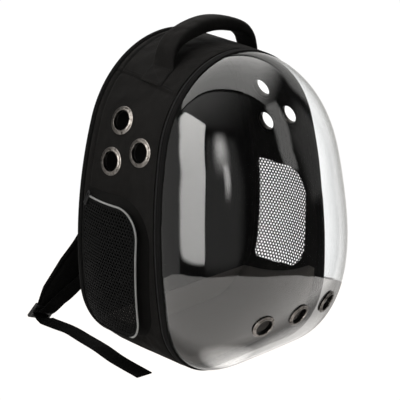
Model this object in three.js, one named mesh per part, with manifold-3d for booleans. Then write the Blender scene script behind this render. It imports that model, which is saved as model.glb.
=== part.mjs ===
// Pet carrier backpack: a soft black body with a clear hard dome in front, standing on its flat bottom.
// Millimetres, +Z up. The dome faces -Y and the wearer's back is at +Y.
// The origin is on the floor, midway between the side walls.
import * as THREE from 'three';
import { mergeVertices } from 'three/addons/utils/BufferGeometryUtils.js';
import Module from 'manifold-3d';

const wasm = await Module();
wasm.setup();

// Body outline seen from the front
const BODY_HEIGHT = 420;
const FRONT_WIDTH = 320;
const WIDEST_HEIGHT = 152;
const TOP_RADIUS = 145;
const FRONT_CORNER_RADIUS = 88;
const BACK_CORNER_RADIUS = 106;

// How the outline grows from the front rim to the back
const BACK_SPREAD = 6.5;
const BACK_HEIGHT_GAIN = 9;
const BACK_BOTTOM_RISE = 5;
const BACK_RISE_SHARE = 0.16;

// Depths along Y
const FRONT_BOTTOM_Y = -82.5;
const FRONT_LEAN = 32;
const BAND_BACK_Y = 78;
const BACK_PANEL_THICKNESS = 8;

// Cloth, gaps and edge trims
const WALL = 3;
const GAP = 0.3;
const BINDING_DEPTH = 7;
const BINDING_HEIGHT = 7;
const ZIP_DEPTH = 6;
const ZIP_HEIGHT = 3.2;
const PIPING_RADIUS = 4;
const PIPING_INSET = 1;

// Seams round the body, counted as stations along the outline
const SHOULDER_SEAM = 3.39;
const CORNER_SEAM = 1.5;
const SEAM_STATION_GAP = 0.0013;

// Clear dome
const DOME_DEPTH = 124;
const DOME_ROUNDNESS = 1.8;
const DOME_PEAK_HEIGHT = 240;
const DOME_INSET = 2;
const DOME_WALL = 2;
const DOME_RINGS = 8;

// Vent eyelets in the side walls: places across the depth and up the wall
const EYELET = { hole: 12.5, barrel: 14, flange: 19, rise: 2.6, wall: 4.4, lip: 1.1 };
const EYELET_PLACES = [
  { name: 'top', y: 29, z: 336 },
  { name: 'back', y: 34, z: 283 },
  { name: 'front', y: -15, z: 303 },
];

// Vent grommets in the dome: places as outline stations and shares of the rim's size
const GROMMET = { hole: 12, barrel: 13.2, flange: 17, rise: 2.4, wall: 3.9, lip: 1 };
const GROMMET_PLACES = [
  { name: 'left', station: -1.19, share: 0.675 },
  { name: 'middle', station: 0, share: 0.667 },
  { name: 'right', station: 1.19, share: 0.675 },
];

// Shared by eyelets and grommets: the flange's bevel, its seat on the wall, and the hole for the barrel
const RING_SIDES = 12;
const RING_BEVEL = 1;
const RING_SEAT = 0.4;
const BORE_CLEARANCE = 0.6;
const BORE_LENGTH = 30;

// Side pockets: a mesh face on a cloth gusset, over a window in the wall
const POCKET = { back: 73, backRadius: 8 };
const POCKET_SEAM = { bottom: 50, top: 244, front: -50, lowRadius: 40, topRadius: 62 };
const POCKET_FACE = { bottom: 55, top: 235, front: -43, lowRadius: 31, topRadius: 38 };
const POCKET_WINDOW = { bottom: 65, top: 219, front: -33, lowRadius: 38, topRadius: 36 };
const POCKET_WINDOW_CUT = { from: 100, to: 200 };
const POCKET_WALL = 1.5;
const POCKET_STANDOFF = 15;
const POCKET_BACK_STANDOFF = 2.2;
const POCKET_SLOPE_LENGTH = 70;
const POCKET_PIPING_RADIUS = 1.5;
const POCKET_PIPING_STEPS = 20;
const POCKET_MESH_RINGS = 3;
const GUSSET_FOLD = 2.5;

// Pull tab of each pocket's zip
const PULL = { y: 61, z: 231, length: 22, width: 7, thickness: 2.4, lean: 0.5 };

// Slider of the zip round the dome, on the side away from the pockets' pulls
const SLIDER = { station: 2.6, length: 13, width: 8, thickness: 5 };
const SLIDER_PULL = { length: 24, width: 5.6, thickness: 2.5, lift: 1.75 };

// Floor mat
const MAT_TOP = 18;
const MAT_EDGE = 3;
const MAT_FRONT_Y = -72;
const MAT_BACK_Y = 72;

// Carry handle: its middle line in the XZ plane, from the sewn end up to the middle
const HANDLE_Y = 9;
const HANDLE_SEWN_ANGLES = [46, 52, 57];
const HANDLE_SEWN = { width: 38, thickness: 2.6 };
const HANDLE_STEPS = 28;
const HANDLE_ROWS = [
  { x: 77, z: 409, width: 37, thickness: 6 },
  { x: 72, z: 422.5, width: 35, thickness: 11.5 },
  { x: 60, z: 434.5, width: 34, thickness: 16.5 },
  { x: 34, z: 444, width: 33, thickness: 19.5 },
  { x: 0, z: 448.5, width: 33, thickness: 20 },
];

// Right shoulder strap: its middle line from the sewn top end to the buckle.
// Turn is the angle of its width away from the X axis, in degrees.
const STRAP_ROWS = [
  { x: 50, y: 90.7, z: 398, turn: 0, width: 54, thickness: 7 },
  { x: 52, y: 95.5, z: 375, turn: 0, width: 60, thickness: 12 },
  { x: 58, y: 100, z: 320, turn: 0, width: 62, thickness: 13 },
  { x: 70, y: 103, z: 250, turn: 2, width: 62, thickness: 13 },
  { x: 87, y: 111, z: 185, turn: 8, width: 61, thickness: 13 },
  { x: 103, y: 129, z: 139, turn: 14, width: 60, thickness: 13 },
  { x: 117, y: 151, z: 101, turn: 18, width: 58, thickness: 13 },
  { x: 131, y: 179, z: 56, turn: 20, width: 50, thickness: 11 },
  { x: 138.5, y: 195.5, z: 30.5, turn: 20, width: 32, thickness: 6 },
];
const STRAP_STEPS = 16;

// Ladder-lock buckle at the strap's lower end
const BUCKLE = { width: 36, length: 27, thickness: 5, corner: 4 };
const BUCKLE_SLOT = { width: 28, length: 6.4, offset: 5.2, corner: 1 };
const BUCKLE_DROP = BUCKLE.length / 2 + GAP;

// Webbing threaded through the buckle: a slack run from the back panel, a turn round the bar, a free tail.
// The columns wx and wy give the direction of its width.
const WEBBING = { width: 25, thickness: 1.8 };
const WEBBING_ANCHOR_ROWS = [
  { x: 84, y: 87.9, z: 64, wx: 1, wy: 0 },
  { x: 84, y: 88.1, z: 80, wx: 1, wy: 0 },
  { x: 86, y: 97, z: 92, wx: 1, wy: 0 },
  { x: 91, y: 116, z: 97, wx: 0.98, wy: 0.15 },
  { x: 101, y: 137, z: 87, wx: 0.95, wy: 0.28 },
  { x: 117, y: 160, z: 61, wx: 0.94, wy: 0.34 },
  { x: 132, y: 175, z: 41, wx: 0.94, wy: 0.34 },
];
// The turn round the buckle's middle bar, given down the strap and out of the buckle's face from its centre
const BAR_TURN_ROWS = [
  { down: -5.2, out: -7 },
  { down: -5.2, out: 0 },
  { down: -3.6, out: 4.2 },
  { down: 0, out: 5.4 },
  { down: 3.6, out: 4.2 },
  { down: 5.2, out: 0 },
  { down: 5.2, out: -7 },
];
// The left tail lies forward beside the bag. The right one is out of sight and lies behind it.
const LEFT_TAIL_ROWS = [
  { x: 146, y: 187, z: 10.5, wx: 0.94, wy: 0.34 },
  { x: 143, y: 170, z: 9, wx: 0.98, wy: 0.1 },
  { x: 136, y: 147, z: 5.5, wx: 0.97, wy: -0.2 },
  { x: 135, y: 116, z: 1.5, wx: 0.99, wy: -0.02 },
  { x: 140, y: 76, z: 1.3, wx: 0.98, wy: 0.16 },
  { x: 149, y: 31, z: 1.3, wx: 0.98, wy: 0.17 },
  { x: 156, y: -32, z: 1.3, wx: 0.99, wy: 0.1 },
];
const RIGHT_TAIL_ROWS = [
  { x: 146, y: 187, z: 10.5, wx: 0.94, wy: 0.34 },
  { x: 143, y: 172, z: 8, wx: 0.96, wy: -0.26 },
  { x: 133, y: 157, z: 4, wx: 0.78, wy: -0.62 },
  { x: 114, y: 147, z: 1.5, wx: 0.4, wy: -0.92 },
  { x: 80, y: 143, z: 1.3, wx: 0.05, wy: -1 },
  { x: 30, y: 146, z: 1.3, wx: -0.06, wy: -1 },
  { x: -25, y: 150, z: 1.3, wx: -0.07, wy: -1 },
];

// Materials
function finish(color, roughness, metalness = 0, opacity = 1) {
  return new THREE.MeshStandardMaterial({ color, roughness, metalness, opacity, transparent: opacity < 1 });
}

const nylon = finish('#1d1c1b', 0.7);
const edgeTape = finish('#0d0d0d', 0.6);
const padding = finish('#161616', 0.85);
const meshCloth = finish('#0f0f0f', 0.8);
const reflective = finish('#a9a9a8', 0.4);
const steel = finish('#8c8680', 0.3, 1);
const blackPlastic = finish('#0b0b0b', 0.45);
const clear = finish('#dfe3e4', 0.05, 0, 0.3);
const matCloth = finish('#6a655f', 0.9);

const backpack = new THREE.Group();

function add(name, geometry, material) {
  const mesh = new THREE.Mesh(geometry, material);
  mesh.name = name;
  backpack.add(mesh);
  return mesh;
}

// Closed meshes, joins and cuts
function meshOf(points, triangles) {
  const geometry = new THREE.BufferGeometry();
  geometry.setAttribute('position', new THREE.Float32BufferAttribute(points.flat(), 3));
  geometry.setIndex(triangles.flat());
  return geometry;
}

function welded(geometry) {
  const copy = geometry.clone();
  copy.deleteAttribute('normal');
  copy.deleteAttribute('uv');
  return mergeVertices(copy, 1e-4);
}

function solidOf(geometry) {
  const shape = welded(geometry);
  return new wasm.Manifold(new wasm.Mesh({
    numProp: 3,
    vertProperties: new Float32Array(shape.attributes.position.array),
    triVerts: new Uint32Array(shape.index.array),
  }));
}

function geometryOf(solid) {
  const mesh = solid.getMesh();
  const geometry = new THREE.BufferGeometry();
  geometry.setAttribute('position', new THREE.BufferAttribute(Float32Array.from(mesh.vertProperties), 3));
  geometry.setIndex(Array.from(mesh.triVerts));
  return geometry;
}

function cutBy(geometry, cutters) {
  return geometryOf(cutters.reduce((solid, cutter) => solid.subtract(solidOf(cutter)), solidOf(geometry)));
}

// A sheet between two grids of points, closed along its edges. A loop's last column meets its first.
function sheet(rows, columns, outer, inner, loop = false) {
  const points = [];
  for (const side of [outer, inner]) {
    for (let i = 0; i < rows; i += 1) {
      for (let j = 0; j < columns; j += 1) points.push(side(i, j));
    }
  }
  const at = (side, i, j) => side * rows * columns + i * columns + (j % columns);
  const triangles = [];
  const quad = (a, b, c, d) => triangles.push([a, b, c], [a, c, d]);
  const spans = loop ? columns : columns - 1;
  for (let j = 0; j < spans; j += 1) {
    for (let i = 0; i < rows - 1; i += 1) {
      quad(at(0, i, j), at(0, i, j + 1), at(0, i + 1, j + 1), at(0, i + 1, j));
      quad(at(1, i, j), at(1, i + 1, j), at(1, i + 1, j + 1), at(1, i, j + 1));
    }
    quad(at(0, 0, j), at(1, 0, j), at(1, 0, j + 1), at(0, 0, j + 1));
    quad(at(0, rows - 1, j), at(0, rows - 1, j + 1), at(1, rows - 1, j + 1), at(1, rows - 1, j));
  }
  if (!loop) {
    const last = columns - 1;
    for (let i = 0; i < rows - 1; i += 1) {
      quad(at(0, i, 0), at(0, i + 1, 0), at(1, i + 1, 0), at(1, i, 0));
      quad(at(0, i, last), at(1, i, last), at(1, i + 1, last), at(0, i + 1, last));
    }
  }
  return meshOf(points, triangles);
}

// A closed loop of section points carried round a closed or an open path
function sweep(sections, closedPath = false) {
  const count = sections[0].length;
  const points = sections.flat();
  const triangles = [];
  const spans = closedPath ? sections.length : sections.length - 1;
  for (let i = 0; i < spans; i += 1) {
    const next = ((i + 1) % sections.length) * count;
    for (let j = 0; j < count; j += 1) {
      const k = (j + 1) % count;
      triangles.push([i * count + j, next + j, next + k], [i * count + j, next + k, i * count + k]);
    }
  }
  if (!closedPath) {
    const end = (sections.length - 1) * count;
    for (let j = 1; j < count - 1; j += 1) {
      triangles.push([0, j, j + 1], [end, end + j + 1, end + j]);
    }
  }
  return meshOf(points, triangles);
}

// A shell of rings that shrink to a point, with the same shell inside it
function dished(columns, rings, outer, inner) {
  const points = [];
  for (const side of [outer, inner]) {
    for (let i = 0; i < rings; i += 1) {
      for (let j = 0; j < columns; j += 1) points.push(side(j, i / rings));
    }
    points.push(side(0, 1));
  }
  const half = rings * columns + 1;
  const triangles = [];
  for (let j = 0; j < columns; j += 1) {
    const k = (j + 1) % columns;
    for (let i = 0; i < rings - 1; i += 1) {
      const [a, b] = [i * columns + j, i * columns + k];
      const [c, d] = [b + columns, a + columns];
      triangles.push([a, b, c], [a, c, d]);
      triangles.push([half + a, half + c, half + b], [half + a, half + d, half + c]);
    }
    const top = (rings - 1) * columns;
    triangles.push([top + j, top + k, half - 1], [half + top + k, half + top + j, 2 * half - 1]);
    triangles.push([j, half + j, half + k], [j, half + k, k]);
  }
  return meshOf(points, triangles);
}

const mix = THREE.MathUtils.lerp;
const steps = (from, to, count) => Array.from({ length: count + 1 }, (_, i) => mix(from, to, i / count));

// Outline at one depth. Stations: 0 bottom middle, 1 corner, 2 side, 3 top arc, 4 top middle, then mirrored.
function bodyOutline({ halfWidth, height, bottom, cornerRadius }) {
  const topCentre = height - TOP_RADIUS;
  const rise = topCentre - WIDEST_HEIGHT;
  const sideRadius = (halfWidth ** 2 + rise ** 2 - TOP_RADIUS ** 2) / (2 * (halfWidth - TOP_RADIUS));
  const sideCentre = halfWidth - sideRadius;
  const cornerHeight = bottom + cornerRadius;
  const drop = cornerHeight - WIDEST_HEIGHT;
  const cornerCentre = sideCentre + Math.sqrt((sideRadius - cornerRadius) ** 2 - drop ** 2);
  const cornerEnd = Math.atan2(drop, cornerCentre - sideCentre);
  const sideEnd = Math.atan2(rise, -sideCentre);
  const arcs = [
    { x: cornerCentre, z: cornerHeight, radius: cornerRadius, from: -Math.PI / 2, to: cornerEnd },
    { x: sideCentre, z: WIDEST_HEIGHT, radius: sideRadius, from: cornerEnd, to: sideEnd },
    { x: 0, z: topCentre, radius: TOP_RADIUS, from: sideEnd, to: Math.PI / 2 },
  ];

  function at(station, inset = 0) {
    const turn = ((station % 8) + 8) % 8;
    const half = turn <= 4 ? turn : 8 - turn;
    const side = turn <= 4 ? 1 : -1;
    if (half < 1) return { x: side * half * cornerCentre, z: bottom + inset };
    const arc = arcs[Math.min(Math.floor(half), 3) - 1];
    const angle = mix(arc.from, arc.to, half - Math.min(Math.floor(half), 3));
    const radius = arc.radius - inset;
    return { x: side * (arc.x + radius * Math.cos(angle)), z: arc.z + radius * Math.sin(angle) };
  }

  function halfWidthAt(z) {
    const arc = arcs.find(({ z: centre, radius, to }) => z <= centre + radius * Math.sin(to) + 1e-6);
    return arc.x + Math.sqrt(Math.max(arc.radius ** 2 - (z - arc.z) ** 2, 0));
  }

  return { at, halfWidthAt };
}

// Share 0 is the body's back edge and share 1 its front rim
function sectionAt(share) {
  return bodyOutline({
    halfWidth: FRONT_WIDTH / 2 + BACK_SPREAD * (1 - share ** 2),
    height: BODY_HEIGHT + BACK_HEIGHT_GAIN * (1 - share),
    bottom: BACK_BOTTOM_RISE * Math.max(0, 1 - share / BACK_RISE_SHARE),
    cornerRadius: mix(BACK_CORNER_RADIUS, FRONT_CORNER_RADIUS, share),
  });
}

const rimY = (z) => FRONT_BOTTOM_Y + (FRONT_LEAN * z) / BODY_HEIGHT;
const RIM_TRIM_DEPTH = BINDING_DEPTH + GAP + ZIP_DEPTH + GAP;
const bandFrontY = (z) => rimY(z) + RIM_TRIM_DEPTH;
const shareAt = (y, z) => (BAND_BACK_Y - y) / (BAND_BACK_Y - bandFrontY(z));

function bandPoint(station, share, inset) {
  const section = sectionAt(share);
  const z = section.at(station).z;
  const point = section.at(station, inset);
  return [point.x, mix(BAND_BACK_Y, bandFrontY(z), share), point.z];
}

const wallX = (y, z) => sectionAt(shareAt(y, z)).halfWidthAt(z);

// Outward direction of the right side wall at a place
function wallNormal(y, z) {
  const d = 0.5;
  const alongY = (wallX(y + d, z) - wallX(y - d, z)) / (2 * d);
  const alongZ = (wallX(y, z + d) - wallX(y, z - d)) / (2 * d);
  return new THREE.Vector3(1, -alongY, -alongZ).normalize();
}

// The rim's stations: denser on the round stretches
const HALF_LOOP = [
  ...steps(0, 1, 2).slice(0, -1),
  ...steps(1, 2, 7).slice(0, -1),
  ...steps(2, 3, 6).slice(0, -1),
  ...steps(3, 4, 8),
];
const LOOP = [...HALF_LOOP, ...HALF_LOOP.slice(1, -1).reverse().map((station) => 8 - station)];

// Cloth panels of the band, split at its seams
const PANEL_SHARES = [0, BACK_RISE_SHARE, 0.45, 0.72, 1];

function panel(stations) {
  const trimmed = stations.map((station, i) => {
    if (i === 0) return station + SEAM_STATION_GAP;
    return i === stations.length - 1 ? station - SEAM_STATION_GAP : station;
  });
  const place = (inset) => (i, j) => bandPoint(trimmed[j], PANEL_SHARES[i], inset);
  return sheet(PANEL_SHARES.length, trimmed.length, place(0), place(WALL));
}

const RIGHT_STATIONS = [
  ...steps(CORNER_SEAM, 2, 4).slice(0, -1),
  ...steps(2, 3, 6).slice(0, -1),
  ...steps(3, SHOULDER_SEAM, 4),
];
const LEFT_STATIONS = RIGHT_STATIONS.map((station) => 8 - station).reverse();
const TOP_STATIONS = steps(SHOULDER_SEAM, 8 - SHOULDER_SEAM, 14);
const BOTTOM_STATIONS = [
  ...steps(-CORNER_SEAM, -1, 4).slice(0, -1),
  ...steps(-1, 1, 2).slice(0, -1),
  ...steps(1, CORNER_SEAM, 4),
];

// Pocket outline in the wall's YZ plane: round corners, each followed by a straight run in equal parts
function pocketLoop({ bottom, top, front, lowRadius, topRadius }) {
  const { back, backRadius } = POCKET;
  const corners = [
    { y: back - backRadius, z: bottom + backRadius, radius: backRadius, start: 0, arc: 2, run: 2 },
    { y: front + lowRadius, z: bottom + lowRadius, radius: lowRadius, start: -90, arc: 5, run: 3 },
    { y: front + topRadius, z: top - topRadius, radius: topRadius, start: -180, arc: 6, run: 2 },
    { y: back - backRadius, z: top - backRadius, radius: backRadius, start: -270, arc: 2, run: 6 },
  ];
  const pointAt = ({ y, z, radius }, degrees) => {
    const angle = THREE.MathUtils.degToRad(degrees);
    return { y: y + radius * Math.cos(angle), z: z + radius * Math.sin(angle) };
  };
  return corners.flatMap((corner, i) => {
    const next = corners[(i + 1) % corners.length];
    const end = pointAt(corner, corner.start - 90);
    const start = pointAt(next, next.start);
    const turns = steps(corner.start, corner.start - 90, corner.arc).slice(0, -1);
    const runs = steps(0, 1, corner.run).slice(0, -1);
    return [
      ...turns.map((degrees) => pointAt(corner, degrees)),
      ...runs.map((share) => ({ y: mix(end.y, start.y, share), z: mix(end.z, start.z, share) })),
    ];
  });
}

function pocketStandoff(y) {
  const share = THREE.MathUtils.clamp((POCKET.back - y) / POCKET_SLOPE_LENGTH, 0, 1);
  return mix(POCKET_BACK_STANDOFF, POCKET_STANDOFF, Math.sin((share * Math.PI) / 2));
}

const pocketFaceX = (y, z) => wallX(y, z) + pocketStandoff(y);

function prism(loop, x0, x1) {
  const shape = new THREE.Shape(loop.map(({ y, z }) => new THREE.Vector2(y, z)));
  const geometry = new THREE.ExtrudeGeometry(shape, { depth: x1 - x0, bevelEnabled: false });
  const basis = new THREE.Matrix4().makeBasis(
    new THREE.Vector3(0, 1, 0), new THREE.Vector3(0, 0, 1), new THREE.Vector3(1, 0, 0));
  return geometry.applyMatrix4(basis).translate(x0, 0, 0);
}

// Mirrors a shape from the right side to the left, keeping its faces outward
function mirrored(geometry) {
  const copy = welded(geometry).scale(-1, 1, 1);
  const index = copy.index.array;
  for (let i = 0; i < index.length; i += 3) [index[i], index[i + 1]] = [index[i + 1], index[i]];
  return copy;
}

// Turns a shape made along +Y to stand along a direction
const standUp = (normal) => new THREE.Quaternion().setFromUnitVectors(new THREE.Vector3(0, 1, 0), normal);

function ringBore({ barrel }, centre, normal) {
  const radius = barrel + BORE_CLEARANCE;
  const bore = new THREE.CylinderGeometry(radius, radius, BORE_LENGTH, RING_SIDES);
  return bore.applyQuaternion(standUp(normal)).translate(centre.x, centre.y, centre.z);
}

function eyeletFrame({ y, z }) {
  return { centre: new THREE.Vector3(wallX(y, z), y, z), normal: wallNormal(y, z) };
}

function sidePanel() {
  const window = prism(pocketLoop(POCKET_WINDOW), POCKET_WINDOW_CUT.from, POCKET_WINDOW_CUT.to);
  const holes = EYELET_PLACES.map((place) => {
    const { centre, normal } = eyeletFrame(place);
    return ringBore(EYELET, centre, normal);
  });
  return cutBy(panel(RIGHT_STATIONS), [window, ...holes]);
}

add('top_panel', panel(TOP_STATIONS), nylon);
add('bottom_panel', panel(BOTTOM_STATIONS), nylon);
const rightPanel = sidePanel();
add('side_panel_right', rightPanel, nylon);
add('side_panel_left', mirrored(rightPanel), nylon);

// Rings round the rim: the zip that closes the dome to the band, and the binding that edges the dome
const frontSection = sectionAt(1);

function rimRing(profile) {
  const sections = LOOP.map((station) => profile.map(({ inset, back }) => {
    const point = frontSection.at(station, inset);
    return [point.x, rimY(point.z) + back, point.z];
  }));
  return sweep(sections, true);
}

const bindingEdge = 1.6;
add('dome_binding', rimRing([
  { inset: bindingEdge, back: 0 },
  { inset: BINDING_HEIGHT - bindingEdge, back: 0 },
  { inset: BINDING_HEIGHT, back: bindingEdge },
  { inset: BINDING_HEIGHT, back: BINDING_DEPTH },
  { inset: 0, back: BINDING_DEPTH },
  { inset: 0, back: bindingEdge },
]), edgeTape);
const zipFront = BINDING_DEPTH + GAP;
add('door_zip', rimRing([
  { inset: 0, back: zipFront },
  { inset: ZIP_HEIGHT, back: zipFront },
  { inset: ZIP_HEIGHT, back: zipFront + ZIP_DEPTH },
  { inset: 0, back: zipFront + ZIP_DEPTH },
]), edgeTape);

// Slider of the rim's zip, riding on the tape with its pull hanging along it
function zipSlider() {
  const here = frontSection.at(SLIDER.station);
  const out = frontSection.at(SLIDER.station, -1);
  const outward = Math.atan2(out.z - here.z, out.x - here.x);
  const lift = GAP + SLIDER.thickness / 2;
  const body = new THREE.BoxGeometry(SLIDER.thickness, SLIDER.width, SLIDER.length);
  const tongue = new THREE.BoxGeometry(SLIDER_PULL.thickness, SLIDER_PULL.width, SLIDER_PULL.length);
  tongue.translate(SLIDER_PULL.lift, 0, -SLIDER_PULL.length / 2);
  const shape = geometryOf(solidOf(body).add(solidOf(tongue)));
  shape.rotateY(-outward);
  const y = rimY(here.z) + zipFront + ZIP_DEPTH / 2;
  return shape.translate(here.x + lift * Math.cos(outward), y, here.z + lift * Math.sin(outward));
}
add('door_zip_slider', zipSlider(), blackPlastic);

// Back panel inside its piping
const backSection = sectionAt(0);
const pipingY = BAND_BACK_Y + GAP + PIPING_RADIUS;
const pipingSides = 6;
add('back_piping', sweep(LOOP.map((station) => steps(0, pipingSides, pipingSides).slice(0, -1).map((i) => {
  const angle = (2 * Math.PI * i) / pipingSides;
  const point = backSection.at(station, PIPING_INSET - PIPING_RADIUS * Math.cos(angle));
  return [point.x, pipingY - PIPING_RADIUS * Math.sin(angle), point.z];
})), true), edgeTape);

const backInset = PIPING_INSET + PIPING_RADIUS + GAP;
const backShape = new THREE.Shape(LOOP.map((station) => {
  const point = backSection.at(station, backInset);
  return new THREE.Vector2(point.x, point.z);
}));
const backPanel = new THREE.ExtrudeGeometry(backShape, { depth: BACK_PANEL_THICKNESS, bevelEnabled: false });
backPanel.rotateX(Math.PI / 2);
backPanel.translate(0, BAND_BACK_Y + GAP + BACK_PANEL_THICKNESS, 0);
add('back_panel', backPanel, padding);

// Clear dome, thermoformed over the rim's outline
function domePoint(station, share, inset) {
  const rim = frontSection.at(station, DOME_INSET + inset);
  const x = rim.x * share;
  const z = DOME_PEAK_HEIGHT + (rim.z - DOME_PEAK_HEIGHT) * share;
  const swell = (1 - share ** DOME_ROUNDNESS) ** (1 / DOME_ROUNDNESS);
  return [x, rimY(z) - GAP - (DOME_DEPTH - inset) * swell, z];
}

const domeShare = (step) => Math.cos((step * Math.PI) / 2);
const dome = dished(
  LOOP.length,
  DOME_RINGS,
  (j, step) => domePoint(LOOP[j], step === 1 ? 0 : domeShare(step), 0),
  (j, step) => domePoint(LOOP[j], step === 1 ? 0 : domeShare(step), DOME_WALL),
);

function domeFrame({ station, share }) {
  const d = 0.02;
  const point = (s, r) => new THREE.Vector3(...domePoint(s, r, 0));
  const along = point(station + d, share).sub(point(station - d, share));
  const up = point(station, share - d).sub(point(station, share + d));
  return { centre: point(station, share), normal: along.cross(up).normalize() };
}

const domeHoles = GROMMET_PLACES.map((place) => {
  const { centre, normal } = domeFrame(place);
  return ringBore(GROMMET, centre, normal);
});
add('dome', cutBy(dome, domeHoles), clear);

// Two-part metal vent ring: a rolled flange outside, a barrel through the wall and a lip inside
function ventRing({ hole, barrel, flange, rise, wall, lip }) {
  const edge = flange - RING_BEVEL;
  const profile = [
    { radius: hole, height: rise / 2 },
    { radius: hole, height: -wall - lip },
    { radius: edge, height: -wall - lip },
    { radius: edge, height: -wall },
    { radius: barrel, height: -wall },
    { radius: barrel, height: RING_SEAT },
    { radius: flange, height: RING_SEAT },
    { radius: edge, height: rise - RING_BEVEL / 2 },
    { radius: barrel, height: rise },
    { radius: hole, height: rise / 2 },
  ];
  const points = profile.map(({ radius, height }) => new THREE.Vector2(radius, height));
  return welded(new THREE.LatheGeometry(points, RING_SIDES));
}

function seat(mesh, centre, normal) {
  mesh.position.copy(centre);
  mesh.quaternion.copy(standUp(normal));
}

for (const place of GROMMET_PLACES) {
  const { centre, normal } = domeFrame(place);
  seat(add(`dome_grommet_${place.name}`, ventRing(GROMMET), steel), centre, normal);
}

const SIDES = [
  { name: 'right', sign: 1 },
  { name: 'left', sign: -1 },
];

for (const { name, sign } of SIDES) {
  for (const place of EYELET_PLACES) {
    const { centre, normal } = eyeletFrame(place);
    centre.x *= sign;
    normal.x *= sign;
    seat(add(`eyelet_${name}_${place.name}`, ventRing(EYELET), steel), centre, normal);
  }
}

// Side pockets: gusset, mesh face and piping made on the right, mirrored to the left
const seamLoop = pocketLoop(POCKET_SEAM);
const faceLoop = pocketLoop(POCKET_FACE);
const gussetRows = [0, 0.5, 1];
const pocketCentre = {
  y: (POCKET.back + POCKET_SEAM.front) / 2,
  z: (POCKET_SEAM.bottom + POCKET_SEAM.top) / 2,
};

function gussetPoint(i, j, inward) {
  const share = gussetRows[i];
  const y = mix(seamLoop[j].y, faceLoop[j].y, share);
  const z = mix(seamLoop[j].z, faceLoop[j].z, share);
  const pinch = inward + GUSSET_FOLD * Math.sin(Math.PI * share);
  const reach = Math.hypot(pocketCentre.y - y, pocketCentre.z - z);
  const inY = y + ((pocketCentre.y - y) / reach) * pinch;
  const inZ = z + ((pocketCentre.z - z) / reach) * pinch;
  return [wallX(inY, inZ) + mix(3 * GAP, pocketStandoff(inY) - 2 * GAP, share), inY, inZ];
}

const gusset = sheet(
  gussetRows.length,
  seamLoop.length,
  (i, j) => gussetPoint(gussetRows.length - 1 - i, j, 0),
  (i, j) => gussetPoint(gussetRows.length - 1 - i, j, POCKET_WALL),
  true,
);

function facePoint(j, step, lift) {
  const y = mix(faceLoop[j].y, pocketCentre.y, step);
  const z = mix(faceLoop[j].z, pocketCentre.z, step);
  return [pocketFaceX(y, z) + lift, y, z];
}

const meshFace = dished(
  faceLoop.length,
  POCKET_MESH_RINGS,
  (j, step) => facePoint(j, step, 0),
  (j, step) => facePoint(j, step, POCKET_WALL),
);

// The reflective piping follows the face's edge along its bottom, front and top
const pipingLift = POCKET_WALL + GAP + POCKET_PIPING_RADIUS;
const pipingPath = faceLoop
  .filter(({ y }) => y < POCKET.back - 2 * POCKET.backRadius)
  .map(({ y, z }) => new THREE.Vector3(pocketFaceX(y, z) + pipingLift, y, z));
const pipingLine = new THREE.CatmullRomCurve3(pipingPath);

// Section loops and tables of rows
const sixths = steps(0, 2 * Math.PI, 6).slice(0, -1);
const ROUND_SECTION = sixths.map((angle) => [Math.cos(angle), Math.sin(angle)]);
const FLAT_SECTION = [[-1, -1], [1, -1], [1, 1], [-1, 1]];
const PAD_FLAT = 0.82;
const PAD_EDGE = 0.45;
const PAD_SECTION = [
  [-1, -PAD_EDGE], [-PAD_FLAT, -1], [0, -1], [PAD_FLAT, -1], [1, -PAD_EDGE],
  [1, PAD_EDGE], [PAD_FLAT, 1], [0, 1], [-PAD_FLAT, 1], [-1, PAD_EDGE],
];

// Carries a section along a line. Each sample gives a place, a width direction, a width and a thickness.
function strip(samples, section) {
  const sections = samples.map(({ at, tangent, across, width, thickness }) => {
    const side = across.clone().addScaledVector(tangent, -across.dot(tangent)).normalize();
    const up = new THREE.Vector3().crossVectors(side, tangent).normalize();
    return section.map(([a, b]) => at.clone()
      .addScaledVector(side, (a * width) / 2)
      .addScaledVector(up, (b * thickness) / 2)
      .toArray());
  });
  return sweep(sections);
}

// Samples a smooth line through a table's rows, with the other columns read between the rows
function alongRows(rows, count, acrossOf) {
  const places = rows.map(({ x, y, z }) => new THREE.Vector3(x, y, z));
  const line = new THREE.CatmullRomCurve3(places, false, 'centripetal');
  return steps(0, 1, count).map((t) => {
    const place = t * (rows.length - 1);
    const low = Math.min(Math.floor(place), rows.length - 2);
    const read = (column) => mix(rows[low][column], rows[low + 1][column], place - low);
    return {
      at: line.getPoint(t),
      tangent: line.getTangent(t),
      across: acrossOf(read),
      width: read('width'),
      thickness: read('thickness'),
    };
  });
}

function tube(curve, radius, count) {
  return strip(steps(0, 1, count).map((t) => ({
    at: curve.getPoint(t),
    tangent: curve.getTangent(t),
    across: new THREE.Vector3(1, 0, 0),
    width: 2 * radius,
    thickness: 2 * radius,
  })), ROUND_SECTION);
}

const pocketPiping = tube(pipingLine, POCKET_PIPING_RADIUS, POCKET_PIPING_STEPS);

// Pull tab, lying on the face beside the top end of the piping
function pullTab() {
  const d = 4;
  const alongY = (pocketFaceX(PULL.y + d, PULL.z) - pocketFaceX(PULL.y - d, PULL.z)) / (2 * d);
  const alongZ = (pocketFaceX(PULL.y, PULL.z + d) - pocketFaceX(PULL.y, PULL.z - d)) / (2 * d);
  const normal = new THREE.Vector3(1, -alongY, -alongZ).normalize();
  const centre = new THREE.Vector3(pocketFaceX(PULL.y, PULL.z) + POCKET_WALL, PULL.y, PULL.z);
  const tab = new THREE.BoxGeometry(PULL.thickness, PULL.width, PULL.length);
  tab.rotateX(PULL.lean);
  tab.applyQuaternion(new THREE.Quaternion().setFromUnitVectors(new THREE.Vector3(1, 0, 0), normal));
  centre.addScaledVector(normal, PULL.thickness / 2 + 2 * GAP);
  return tab.translate(centre.x, centre.y, centre.z);
}
const pull = pullTab();

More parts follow.
